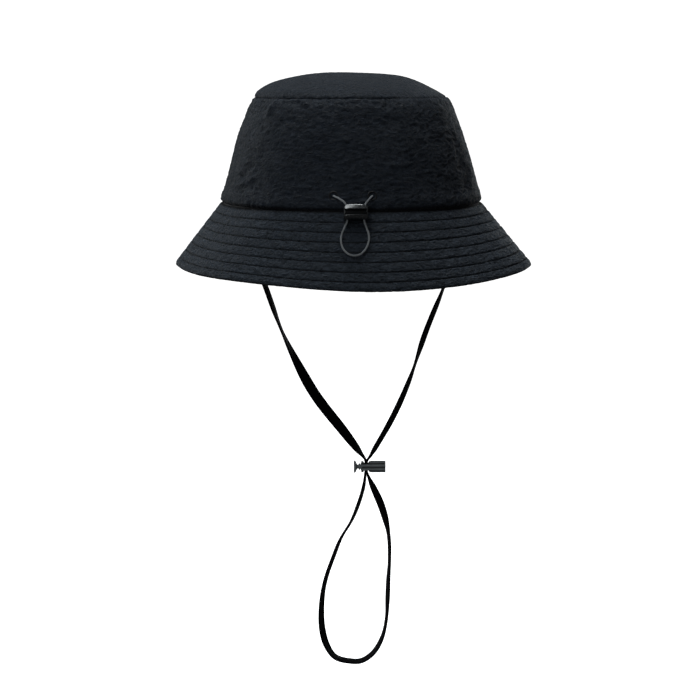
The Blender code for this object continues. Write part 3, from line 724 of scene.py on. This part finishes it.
# ---------------------------------------------------------------- crown
# Longer folds in the crown's side, as (x, z) to (x, z), half-width and height, all in millimetres.
FOLDS = [
    (-49.0, 70.9, -55.5, 55.5, 1.5, 1.3), (-52.5, 66.0, -47.0, 57.0, 1.3, 0.6),
    (-79.5, 11.2, -61.0, 21.5, 1.4, 0.9), (-76.7, 18.0, -65.5, 31.5, 1.3, 0.6),
    (71.0, 54.0, 76.5, 21.0, 1.4, 0.9), (74.9, 42.4, 80.5, 5.0, 1.5, 0.9),
    (66.0, 58.0, 72.0, 36.0, 1.3, 0.7), (-14.0, 44.4, 0.5, 43.6, 0.9, 0.5),
    (-30.0, 36.0, -12.0, 33.5, 1.0, 0.4), (14.0, 58.0, 30.0, 55.0, 1.0, 0.45),
    (20.0, 27.0, 41.0, 31.0, 1.1, 0.45), (-37.0, 70.0, -26.0, 67.0, 1.0, 0.7),
    (-72.0, 45.0, -66.0, 52.0, 1.2, 0.5), (-40.0, 16.0, -22.0, 13.0, 1.0, 0.4),
]


def fold_relief(points):
    """Sharp-crested folds that fade at both ends; the front wears them turned about."""
    flip = np.where(points[..., 1] < 0, 1.0, -1.0)
    x, z = points[..., 0] * flip / MM, points[..., 2] / MM
    total = np.zeros(x.shape)
    for x0, z0, x1, z1, width, height in FOLDS:
        along = np.array([x1 - x0, z1 - z0])
        length = np.linalg.norm(along)
        along = along / length
        travel = ((x - x0) * along[0] + (z - z0) * along[1]) / length
        wander = 0.8 * np.sin(travel * 5.0 + x0)
        off = (x - x0) * along[1] - (z - z0) * along[0] + wander
        fade = smoothstep(0, 0.25, travel) * smoothstep(1, 0.75, travel)
        crest = np.exp(-np.abs(off) / width) - 0.55 * bump(off - 2.2 * width, 1.4 * width)
        total += height * fade * crest
    return total * MM


def gathering(angle, from_seam, layer):
    """Gathers that run up from a seam; layer sets one seam's apart from another's."""
    return middling(at(angle * 30, layer, from_seam / (14 * MM)))


def wall_relief(angle, height, points):
    """How far the crown's cloth stands off its plain wall."""
    from_seam, from_tip = height, WALL_HEIGHT - height
    waves = 1.1 * MM * broad(points / (55 * MM) + 2.0)
    waves += 0.5 * MM * middling(points / (24 * MM) * np.array([1, 1, 0.8]) + 9.0)
    waves *= 0.3 + 0.7 * smoothstep(0, 12 * MM, from_seam)
    cloth = 0.65 * MM * crinkle(points, 2.6 * MM)
    gathers = gathering(angle, from_seam, 2)
    gathers = gathers * (bump(from_tip, 6 * MM) * 0.8 + bump(from_seam, 5 * MM) * 0.6)
    tuck = -2.1 * MM * bump(from_seam, 1.05 * MM) - 0.8 * MM * bump(from_tip, 1.0 * MM)
    shoulder = 0.5 * MM * bump(from_tip - 7 * MM, 5 * MM)
    shoulder = shoulder + 0.7 * MM * bump(from_seam - 5 * MM, 5 * MM)
    return waves + cloth + gathers * MM + tuck + shoulder + fold_relief(points)


def full_turn(count):
    return np.linspace(0, TAU, count, endpoint=False)


def half_turn(start):
    """Angles round half the hat, which stop just short of the side seams."""
    gap = 0.0018
    return start + np.linspace(gap, math.pi - gap, 400)


def from_side_seam(angles, start):
    """The distance round the hat to the nearer side seam."""
    return np.minimum(angles - start, start + math.pi - angles) * BASE_B


def add_wall(half, start):
    """One half of the crown's side, with its ends turned in at the side seams."""
    low, high = 0.2 * MM, WALL_HEIGHT - 0.2 * MM
    plain, angles, heights = crossed(crown_outline, half_turn(start), np.linspace(low, high, 100))
    relief = wall_relief(angles, heights, plain)
    from_side = from_side_seam(angles, start)
    relief -= 0.9 * MM * bump(from_side, 1.4 * MM)
    relief += 0.25 * MM * bump(from_side - 3 * MM, 1.6 * MM)
    outer = plain + normals_of(plain, False) * relief[..., None]
    inner = crossed(crown_outline, half_turn(start), np.linspace(high, low, 6), SHELL_BACK)[0]
    piece = wrapped_solid("crown_side_" + half + "_cloth", np.concatenate([outer, inner], 1), False)
    finish_piece(piece, "hat", nylon, "shell_fabric", "crown_side_" + half)


UNDER_SHARES = np.array([1.0, 0.9, 0.7, 0.4, 0.1])  # rings on the far face of a domed ply


def dome(share, angle, depth=0.0):
    rise = (DOME_RISE - depth) * (1 - share**2.5) ** 0.75
    a, b = (TIP_A - depth) * share, (TIP_B - depth) * share
    return np.stack([a * np.cos(angle), b * np.sin(angle), WALL_HEIGHT + rise], -1)


def add_tip():
    """The crown's top: a crinkled dome gathered into the tip seam."""
    angle = full_turn(420)
    share = np.sin(np.linspace(0.012, math.pi / 2, 84))
    shares, angles = np.meshgrid(share, angle, indexing="ij")
    plain = dome(np.minimum(shares, 0.99999), angles)
    normal = normals_of(plain.transpose(1, 0, 2)[:, ::-1], True)[:, ::-1].transpose(1, 0, 2)
    normal[0] = (0, 0, 1)
    from_seam = (plain[..., 2] - WALL_HEIGHT) + (1 - shares) * TIP_A
    relief = 0.9 * MM * broad(plain / (48 * MM) + 5.0) + 0.36 * MM * crinkle(plain, 3.4 * MM, 1.6)
    relief += gathering(angles, from_seam, 5) * bump(from_seam, 6 * MM) * 0.8 * MM
    relief -= 0.5 * MM * bump(from_seam, 1.2 * MM)
    shoulder = bump(shares - 0.86, 0.22)
    relief -= 2.0 * MM * smoothstep(0.1, 0.9, np.cos(angles)) * shoulder
    left_side = smoothstep(0.1, 0.9, -np.cos(angles)) * smoothstep(1.0, 0.95, shares)
    relief += 1.2 * MM * left_side * shoulder
    outer = plain + normal * relief[..., None]
    inner = crossed(dome, UNDER_SHARES, angle, TIP_BACK)[0]
    piece = wrapped_solid("crown_tip_cloth", np.concatenate([outer, inner]), False)
    finish_piece(piece, "hat", tip_nylon, "shell_fabric", "crown_tip")


# ---------------------------------------------------------------- brim
def off_stitching(across):
    """The distance across the brim to its nearest stitch row."""
    return np.min([np.abs(across - row) for row in STITCH_ROWS], axis=0) * BRIM_END


def row_wobble(angle, across):
    """How far the stitch rows stray from their even places, as a share of the width."""
    return 0.005 * middling(at(angle * 24, across * 9, 8))


def brim_waves(points):
    """The whole brim's slow rise and fall, the same through all its plies."""
    return 0.9 * MM * broad(points / (70 * MM) + 1.3)


def waved(grid, wrap, up):
    return grid + up * normals_of(grid, wrap) * brim_waves(grid)[..., None]


def brim_relief(angle, across, points, side=1):
    """How far the brim's cloth stands off its plain face, on either side."""
    distance = off_stitching(across + row_wobble(angle, across))
    groove = -0.75 * MM * bump(distance, 0.36 * MM)
    pillow = 0.10 * MM * smoothstep(0, 3.2 * MM, distance)
    edge_in = (1 - across) * BRIM_END
    phase = 9 * side
    puckers = middling(at(angle * 70, across * 8.5 + phase, side))
    puckers += 0.6 * finest(at(angle * 130, across * 9.5 + phase, 3))
    puckers *= 0.30 * MM * (0.35 + 0.65 * bump(distance - 1.2 * MM, 1.6 * MM))
    cloth = 0.46 * MM * crinkle(points + side * 0.31, 2.4 * MM, 1.7)
    tuck = -1.1 * MM * bump(across * BRIM_END, 0.9 * MM) * (side > 0)
    rolled = -0.5 * MM * bump(edge_in, 1.2 * MM)
    return groove + pillow + puckers + cloth + tuck + rolled + brim_waves(points) * side


def add_brim_ply(half, start, side):
    """The upper (side 1) or under (side -1) ply of half the brim, turned in at the edge."""
    depth, inner_depth = (0.0, 1.35 * MM) if side > 0 else (BRIM_THICK, 1.65 * MM)
    out, back = np.linspace(0.0, 1.0, 128), np.array([1.0, 0.985, 0.75, 0.5, 0.25, 0.0])
    plain, angles, shares = crossed(brim_outline, half_turn(start), out, depth)
    relief = brim_relief(angles, shares, plain, side)
    relief -= 0.5 * MM * bump(from_side_seam(angles, start), 1.2 * MM)
    outer = plain - normals_of(plain, False) * side * relief[..., None]
    inner, back_angles, back_shares = crossed(brim_outline, half_turn(start), back, inner_depth)
    name = "brim_" + ("top_" if side > 0 else "under_") + half
    grid = np.concatenate([outer, waved(inner, False, 1)], 1)
    piece = wrapped_solid(name + "_cloth", grid, False)
    angles = np.concatenate([angles, back_angles], 1)
    shares = np.concatenate([shares, back_shares], 1)
    shares = shares + row_wobble(angles, shares)
    add_uv(piece, np.stack([angles * BASE_B, shares * BRIM_END], -1).reshape(-1, 2) / MM)
    finish_piece(piece, "hat", brim_nylon, "shell_fabric", name)


def add_seam_binding():
    """The turned-up seam allowance that closes the join of crown and brim from inside."""
    section = [(1.3, -1.3), (1.2, 0.4), (2.5, 1.6), (2.5, 5.5), (3.9, 5.5), (4.0, 0.5), (3.9, -1.2),
               (3.0, -1.7), (2.2, -1.5)]
    angle = full_turn(360)
    rings = []
    for depth, height in section:
        ring = crown_outline(angle, np.full_like(angle, height * MM), depth * MM)
        ring[:, 2] += depth * MM * 0.2
        rings.append(ring)
    piece = wrapped_solid("brim_seam_binding", np.stack(rings, 1), True)
    # the dark thread material makes the binding a black line in the seam's groove: painted shadow
    finish_piece(piece, "hat", thread, "shell_fabric")


def add_interlining():
    """The stiffener between the brim's two plies."""
    angle = full_turn(240)
    across = np.array([0.02, 0.25, 0.5, 0.75, 0.96])
    sides = [waved(crossed(brim_outline, angle, shares, depth)[0], True, up)
             for depth, shares, up in ((1.38 * MM, across, -1), (1.62 * MM, across[::-1], 1))]
    piece = wrapped_solid("brim_interlining_felt", np.concatenate(sides, 1), True)
    finish_piece(piece, "hat", stiffener_material(), "interlining", "brim_interlining")


def add_stitches(name, rows, width, height, slot):
    """Rows of short raised stitches as one piece: each a slim bead from its start to its end."""
    starts, ends, ups = (np.concatenate(part) for part in zip(*rows))
    rings = [(-0.5, 0.35), (-0.38, 0.85), (0.0, 1.0), (0.38, 0.85), (0.5, 0.35)]
    sides = 6
    along = ends - starts
    direction = unit(along)
    across = unit(np.cross(direction, ups))
    up = np.cross(across, direction)
    middle = (starts + ends) / 2
    points = np.zeros((len(starts), len(rings), sides, 3))
    for r, (place, size) in enumerate(rings):
        sag = -height * (abs(place) * 2) ** 3 * 0.9
        for s in range(sides):
            turn = TAU * s / sides
            offset = across * math.cos(turn) * width / 2 * size
            offset = offset + up * (math.sin(turn) * height / 2 * size + sag)
            points[:, r, s] = middle + along * place + offset
    faces = []
    block = len(rings) * sides
    single = grid_faces(len(rings), sides, False, True)
    single += [list(range(sides))[::-1], [block - sides + s for s in range(sides)]]
    for index in range(len(starts)):
        faces += [[corner + index * block for corner in face] for face in single]
    piece = mesh_piece(name, points.reshape(-1, 3), faces)
    face_outward(piece)
    finish_piece(piece, "hat", thread, slot)


def brim_surface(angle, across, side):
    depth = np.zeros_like(angle) + (0.0 if side > 0 else BRIM_THICK)
    plain = brim_outline(angle, across, depth)
    small = 1e-3
    around = brim_outline(angle + small, across, depth) - plain
    along = brim_outline(angle, across + small, depth) - plain
    normal = -unit(np.cross(around, along)) * side
    return plain + normal * brim_relief(angle, across, plain, side)[..., None], normal


def add_brim_stitching(side):
    """Seven rows of lockstitch round the brim."""
    rows = []
    pitch, length = 3.1 * MM, 2.5 * MM
    random = np.random.default_rng(5)
    for row in STITCH_ROWS:
        angle = np.linspace(0, TAU, 1441)
        distance = travelled(brim_outline(angle, np.full_like(angle, row)))
        count = int(distance[-1] / pitch)
        places = np.arange(count) * distance[-1] / count
        drift = row + 0.004 * (random.random(count) - 0.5)
        start, up = brim_surface(np.interp(places, distance, angle), drift, side)
        end, _ = brim_surface(np.interp(places + length, distance, angle), drift, side)
        lift = up * 0.06 * MM
        rows.append((start + lift, end + lift, up))
    name = "brim_stitching_" + ("top" if side > 0 else "under")
    add_stitches(name, rows, 0.5 * MM, 0.42 * MM, "shell_fabric")


# ---------------------------------------------------------------- inside of the hat
def add_lining():
    angle = full_turn(300)
    low, high = 24 * MM, WALL_HEIGHT - 1.2 * MM
    up = np.linspace(low, high, 34)
    plain, angles, heights = crossed(crown_outline, angle, up, LINING_FACE)
    folds = 0.5 * MM * middling(at(np.cos(angles) * 16, np.sin(angles) * 16, heights / (40 * MM)))
    folds += 0.25 * MM * bump(WALL_HEIGHT - heights, 6 * MM) * np.sin(angles * 70)
    inner = plain - normals_of(plain, True) * folds[..., None]
    outer = crossed(crown_outline, angle, np.linspace(high, low, 6), LINING_BACK)[0]
    piece = wrapped_solid("lining_side_cloth", np.concatenate([inner, outer], 1), True)
    finish_piece(piece, "hat", lining, "lining_fabric", "lining_side")

    share = np.sin(np.linspace(0.03, math.pi / 2, 40))
    lower, shares, _ = crossed(dome, share, angle, LINING_FACE)
    lower[..., 2] += 0.5 * MM * middling(lower / (30 * MM)) * (1 - shares**4)
    upper = crossed(dome, UNDER_SHARES, angle, LINING_TIP_BACK)[0]
    piece = wrapped_solid("lining_tip_cloth", np.concatenate([lower, upper]), False)
    finish_piece(piece, "hat", lining, "lining_fabric", "lining_tip")


BAND_LOW, BAND_HIGH = 1.0 * MM, 27.0 * MM


def add_sweatband():
    """The band inside the opening: a soft fold, with a row of stitching near each edge."""
    angle = full_turn(360)
    up = np.linspace(BAND_LOW, BAND_HIGH, 30)
    plain, angles, heights = crossed(crown_outline, angle, up, BAND_FACE)
    rise = (heights - BAND_LOW) / (BAND_HIGH - BAND_LOW)
    swell = 0.6 * MM * np.sin(rise * math.pi) ** 0.6
    pulled_in = 0.35 * MM * (bump(heights - BAND_HIGH + 2.2 * MM, 0.8 * MM)
                             + bump(heights - BAND_LOW - 2.2 * MM, 0.8 * MM))
    puckers = middling(at(np.cos(angles) * 55, np.sin(angles) * 55, heights / (18 * MM)))
    inner = plain - normals_of(plain, True) * (swell - pulled_in + 0.15 * MM * puckers)[..., None]
    down = np.linspace(BAND_HIGH, BAND_LOW, 8)
    outer = crossed(crown_outline, angle, down, BAND_BACK)[0]
    piece = wrapped_solid("sweatband_cloth", np.concatenate([inner, outer], 1), True)
    finish_piece(piece, "hat", sweatband, "sweatband_fabric", "sweatband")

    rows = []
    turns = np.arange(190) / 190 * TAU
    for level in (BAND_LOW + 2.2 * MM, BAND_HIGH - 2.2 * MM):
        start, end = (crown_outline(turns + ahead, np.full_like(turns, level), BAND_STITCHES)
                      for ahead in (0.0, 0.027))
        rows.append((start, end, unit(-start * np.array([1, 1, 0]))))
    add_stitches("sweatband_stitching", rows, 0.45 * MM, 0.4 * MM, "sweatband_fabric")


# ---------------------------------------------------------------- eyelets and locks
def crisp(piece, degrees):
    """Smooth shading with a hard edge wherever the faces turn by more than the angle."""
    piece.data.shade_smooth()
    piece.data.set_sharp_from_angle(angle=math.radians(degrees))


def turned_piece(name, profile, centre, axis, sides=48, ring=True):
    """A turned solid: profile is (distance along the axis, radius) in millimetres."""
    axis = np.array(axis.normalized())
    across = unit(np.cross(axis, [0.1, 0.3, 0.95]))
    up = np.cross(axis, across)
    cos, sin = circle(sides)
    spoke = cos * across + sin * up
    rows = np.array([np.array(centre) + axis * along * MM + spoke * radius * MM
                     for along, radius in profile])
    piece = wrapped_solid(name, rows.transpose(1, 0, 2) if ring else rows, ring)
    crisp(piece, 40)
    return piece


def add_eyelets():
    flange = [(-2.0, 1.8), (-2.0, 2.1), (0.1, 2.1), (0.05, 3.0), (0.25, 3.15), (0.6, 3.1)]
    flange += [(0.6 + 0.42 * math.sin(t), 2.62 + 0.48 * math.cos(t))
               for t in np.linspace(0.2, math.pi - 0.3, 9)]
    flange += [(0.35, 1.9), (0.0, 1.8)]
    washer = [(-1.4, 2.4), (-1.4, 3.0), (-1.5, 3.1), (-1.7, 3.05), (-1.75, 2.5)]
    for name, side in (("left", -1), ("right", 1)):
        centre, normal = crown_frame(side)
        piece = turned_piece("eyelet_" + name + "_ring", flange, centre, normal)
        finish_piece(piece, "hat", lacquer, "eyelet_metal", "eyelet_" + name)
        piece = turned_piece("eyelet_washer_" + name + "_ring", washer, centre, normal)
        finish_piece(piece, "hat", lacquer, "eyelet_metal", "eyelet_washer_" + name)


def box_piece(name, low, high):
    points = [(x, y, z) for x in (low[0], high[0]) for y in (low[1], high[1])
              for z in (low[2], high[2])]
    faces = [(0, 1, 3, 2), (4, 6, 7, 5), (0, 4, 5, 1), (2, 3, 7, 6), (0, 2, 6, 4), (1, 5, 7, 3)]
    piece = mesh_piece(name, np.array(points) * MM, faces, smooth=False)
    face_outward(piece)
    return piece


def carve(target, cutters, place):
    """Cuts shapes out of a piece, applies the cuts, and removes the cutters."""
    for cutter in cutters:
        cutter.matrix_world = place
        step = target.modifiers.new("cut", "BOOLEAN")
        step.operation = "DIFFERENCE"
        step.solver = "EXACT"
        step.object = cutter
    apply_modifiers(target)
    for cutter in cutters:
        bpy.data.objects.remove(cutter)


def apply_modifiers(piece):
    bpy.context.view_layer.update()
    graph = bpy.context.evaluated_depsgraph_get()
    mesh = bpy.data.meshes.new_from_object(piece.evaluated_get(graph))
    piece.modifiers.clear()
    piece.data = mesh


def soften(piece, width):
    """Rounds a piece's hard edges."""
    step = piece.modifiers.new("soft_edges", "BEVEL")
    step.width = width
    step.segments = 3
    step.limit_method = "ANGLE"
    step.angle_limit = math.radians(35)
    apply_modifiers(piece)
    crisp(piece, 50)


LOCK_LOW, LOCK_H, LOCK_W = -7.7, 9.4, 15.4
CHANNEL_X, CHANNEL_OUT, CHANNEL_R = 5.4, 4.1, 1.25


def rounded(points, radius):
    """A polygon with its corners rounded by quadratic curves."""
    result = []
    points = [np.array(p, float) for p in points]
    for i, corner in enumerate(points):
        before, after = points[i - 1], points[(i + 1) % len(points)]
        into, out = before - corner, after - corner
        reach_in = min(radius, np.linalg.norm(into) * 0.45)
        reach_out = min(radius, np.linalg.norm(out) * 0.45)
        start = corner + into / np.linalg.norm(into) * reach_in
        end = corner + out / np.linalg.norm(out) * reach_out
        for u in np.linspace(0, 1, 5):
            result.append(start * (1 - u) ** 2 + corner * 2 * u * (1 - u) + end * u * u)
    return result


def add_drawcord_lock():
    """The two-hole lock: a bar across its top, a button in a recess, and a lower rim."""
    half = LOCK_H / 2
    middle = LOCK_LOW + half
    profile = [(1.2, -half), (6.2, -half), (8.7, -half + 1.7), (8.8, -half + 2.6),
               (9.9, half - 3.8), (9.45, half - 0.9), (8.6, half), (2.7, half), (1.2, half - 3.2)]
    outline = rounded(profile, 0.8)
    core = 5.2  # how far out the section's middle lies, towards which the ends narrow
    rows = []
    for share in np.sin(np.linspace(-1, 1, 41) * math.pi / 2):
        arch = 0.5 * (1 - share**2) - 0.25
        end = 1 - 0.12 * max(0.0, (abs(share) - 0.72) / 0.28) ** 2.4
        bow = 0.5 * share**2
        rows.append([(share * LOCK_W / 2, -(core + (out - core) * end - bow * (out > core)),
                      middle + up * end + arch) for out, up in outline])
    body = wrapped_solid("drawcord_lock_housing", np.array(rows) * MM, False)
    body.matrix_world = LOCK_FRAME

    cutters = []
    for side in (-1, 1):
        for low, high, radius in ((LOCK_LOW - 2, 4.0, CHANNEL_R), (0.95, 4.0, CHANNEL_R + 0.25),
                                  (LOCK_LOW - 2, LOCK_LOW + 0.45, CHANNEL_R + 0.25)):
            centre = (side * CHANNEL_X * MM, -CHANNEL_OUT * MM, 0)
            cutters.append(turned_piece("channel", [(low, radius), (high, radius)], centre,
                                        Vector((0, 0, 1)), 24, ring=False))
    window_low, window_high = middle - 2.2, middle + 1.1
    cutters.append(box_piece("recess", (-6.9, -12, window_low), (6.9, -5.65, window_high)))
    cutters.append(box_piece("pocket", (-4.8, -12, window_low + 0.01),
                             (4.8, -2.0, window_high - 0.01)))
    carve(body, cutters, LOCK_FRAME)
    soften(body, 0.22 * MM)
    finish_piece(body, "drawcord_lock", lock_plastic, "lock_plastic", "drawcord_lock_body")
    rim = [(0.0, 1.1), (0.0, 1.55), (0.32, 1.45), (0.32, 1.2)]
    boss_place = (5.0 * MM, -9.25 * MM, (middle + half - 2.1) * MM)
    boss = turned_piece("drawcord_lock_boss", rim, boss_place, Vector((0, -1, 0.26)), 36)
    boss.matrix_world = LOCK_FRAME
    finish_piece(boss, "drawcord_lock", lock_plastic, "lock_plastic")

    low, high = window_low + 0.3, window_high - 0.3
    shape = [(-6.5, 8.5), (6.5, 8.5), (6.5, 7.45), (4.1, 7.45), (4.1, 5.5), (-4.1, 5.5),
             (-4.1, 7.45), (-6.5, 7.45)]
    rows = [[(x, -out, z) for x, out in shape] for z in (low, high)]
    button = wrapped_solid("drawcord_lock_push_button", np.array(rows) * MM, False)
    button.matrix_world = LOCK_FRAME
    soften(button, 0.3 * MM)
    finish_piece(button, "drawcord_button", button_plastic, "button_plastic",
                 "drawcord_lock_button")


def add_chin_lock():
    """The fluted barrel and the plunger with its flared head."""
    start, length = 7.1, 16.8
    centre = Vector((0, 0, STRAP_HOLE.z))
    sides, flutes = 160, 8

    def ring(x, r, depth):
        turns = np.arange(sides) / sides * TAU
        groove = bump(((turns * flutes + math.pi) % TAU - math.pi) / flutes, 0.22)
        reach = r - depth * groove
        return np.stack([np.full(sides, x), np.sin(turns) * reach,
                         np.cos(turns) * reach + STRAP_HOLE.z / MM], -1)

    end = start + length
    profile = [(end - 1.0, 3.2, 0), (start + 0.3, 3.2, 0), (start, 3.45, 0), (start, 3.95, 0),
               (start + 0.2, 4.15, 0.1), (start + 0.5, 4.2, 0.8), (end - 0.6, 4.2, 0.8),
               (end - 0.3, 4.2, 0.5), (end - 0.1, 4.15, 0.05), (end, 4.0, 0)]
    body = wrapped_solid("chin_lock_barrel", np.array([ring(*p) for p in profile]) * MM, False)
    hole = [(-6, 3.9), (-4.2, 3.7), (-3.6, 3.1), (-3.2, 2.8), (3.2, 2.8), (3.6, 3.1), (4.2, 3.7),
            (6, 3.9)]
    cutter = turned_piece("hole", hole, STRAP_HOLE, Vector((0, 0, 1)), 40, ring=False)
    carve(body, [cutter], Matrix())
    crisp(body, 32)
    finish_piece(body, "chin_lock", barrel_plastic, "lock_plastic", "chin_lock_body")

    tip = start - 5.0
    profile = [(tip + 0.1, 3.3), (tip - 0.1, 3.8), (tip, 4.15), (tip + 0.3, 4.3), (tip + 1.0, 4.2),
               (tip + 1.3, 3.6), (tip + 1.8, 2.4), (tip + 2.3, 1.5), (tip + 2.7, 1.35),
               (tip + 3.0, 1.4), (tip + 3.15, 2.1), (tip + 3.3, 2.4), (tip + 4.0, 2.4),
               (tip + 4.1, 2.1), (tip + 4.2, 1.6), (tip + 4.5, 1.6), (tip + 4.6, 2.75),
               (tip + 4.8, 2.9), (17.7, 2.9), (18.0, 2.6)]
    plunger = turned_piece("chin_lock_plunger_shaft", profile, centre, Vector((1, 0, 0)), 56,
                           ring=False)
    half = 1.35
    slot = box_piece("slot", (STRAP_HOLE.x / MM - half - 2.5, -1.8, STRAP_HOLE.z / MM - 6),
                     (STRAP_HOLE.x / MM + half + 0.6, 1.8, STRAP_HOLE.z / MM + 6))
    carve(plunger, [slot], Matrix())
    crisp(plunger, 32)
    finish_piece(plunger, "chin_plunger", plunger_plastic, "lock_plastic", "chin_lock_plunger")


def add_spring(name, place, radius, length, turns, wire):
    """A compression spring along place's Z."""
    steps = turns * 24 + 1
    turn = np.linspace(0, turns * TAU, steps)
    coil = np.stack([np.cos(turn) * radius, np.sin(turn) * radius,
                     np.linspace(0, length, steps)], -1)
    coil = np.array([place @ Vector(point * MM) for point in coil])
    piece = tube_piece(name + "_wire", coil, wire / 2 * MM, 10)
    finish_piece(piece, None, steel, "spring_steel", name)
    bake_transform(piece)


def add_springs():
    pocket = Matrix.Translation(Vector((0, -2.45, LOCK_LOW + LOCK_H / 2 - 0.55)) * MM)
    add_spring("drawcord_lock_spring",
               LOCK_FRAME @ pocket @ Matrix.Rotation(math.pi / 2, 4, "X"), 0.95, 2.6, 3, 0.3)
    bore = Matrix.Translation(Vector((22.35, 0, STRAP_HOLE.z / MM)) * MM)
    add_spring("chin_lock_spring",
               bore @ Matrix.Rotation(-math.pi / 2, 4, "Y"), 2.0, 3.85, 3, 0.42)


def paint_carried_nodes():
    """The cord inside the casing keeps its own shape and gets a finished material."""
    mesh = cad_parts["drawcord_in_casing"].data
    mesh.materials.clear()
    mesh.materials.append(elastic)


# ---------------------------------------------------------------- floor and light
FLOOR = -0.40
LIGHT_AIM = Vector((0, 0, -0.03))
WORLD_STRENGTH = 0.07


def add_stage():
    """A plain pale floor that curves up into a round backdrop."""
    radius, bend, height = 4.5, 1.2, 5.0
    profile = [(0.02, 0.0), (radius - bend, 0.0)]
    profile += [(radius - bend + bend * math.sin(t), bend - bend * math.cos(t))
                for t in np.linspace(0.1, math.pi / 2, 14)]
    profile.append((radius, height))
    turns = np.arange(96) / 96 * TAU
    rows = np.array([[(r * math.cos(t), r * math.sin(t), FLOOR + z) for r, z in profile]
                     for t in turns])
    faces = grid_faces(len(turns), len(profile), True, False)
    faces.append([index * len(profile) for index in range(len(turns))])
    floor = mesh_piece("floor", rows.reshape(-1, 3), faces)
    n = Nodes("pale_floor", (0.9, 0.9, 0.9), 0.95, Emission_Color=(1, 1, 1, 1),
              Emission_Strength=1.1)
    n.colour(n.noise(40, 2.0), (0.89, 0.89, 0.89), (0.92, 0.92, 0.92))
    floor.data.materials.append(n.material)
    floor.visible_diffuse = False
    floor.visible_glossy = False


def add_light(name, place, size, power):
    data = bpy.data.lights.new(name, "AREA")
    data.shape = "RECTANGLE"
    data.size, data.size_y = size
    data.energy = power
    data.color = (0.93, 0.985, 1.0)
    point_at(new_object(name, data), place, LIGHT_AIM)


def add_world():
    world = bpy.data.worlds.new("studio")
    world.use_nodes = True
    background = world.node_tree.nodes["Background"]
    background.inputs["Color"].default_value = (1, 1, 1, 1)
    background.inputs["Strength"].default_value = WORLD_STRENGTH
    bpy.context.scene.world = world
    bpy.context.scene.view_settings.view_transform = "Standard"
    bpy.context.scene.view_settings.look = "None"


LIGHTS = [
    ("overhead_front", (-0.55, -0.62, 1.43), (0.9, 0.7), 11.5),
    ("overhead_back", (0.0, 0.4, 1.5), (0.9, 0.7), 18.8),
    ("left_back", (-1.24, 1.12, 0.4), (0.6, 1.0), 5.0),
    ("right_front", (0.75, 1.6, 0.25), (0.6, 1.0), 3.4),
    ("fill_back", (-0.3, -1.1, 0.15), (0.4, 0.25), 1.4),
]


def add_studio():
    add_stage()
    for name, place, size, power in LIGHTS:
        add_light(name, place, size, power)
    add_world()


# ---------------------------------------------------------------- making
for half_name, half_start in (("front", 0.0), ("back", math.pi)):
    add_wall(half_name, half_start)
    for ply_side in (1, -1):
        add_brim_ply(half_name, half_start, ply_side)
add_tip()
add_seam_binding()
add_interlining()
for ply_side in (1, -1):
    add_brim_stitching(ply_side)
add_lining()
add_sweatband()
add_eyelets()
add_drawcord_lock()
add_chin_lock()
add_springs()
paint_carried_nodes()
add_studio()
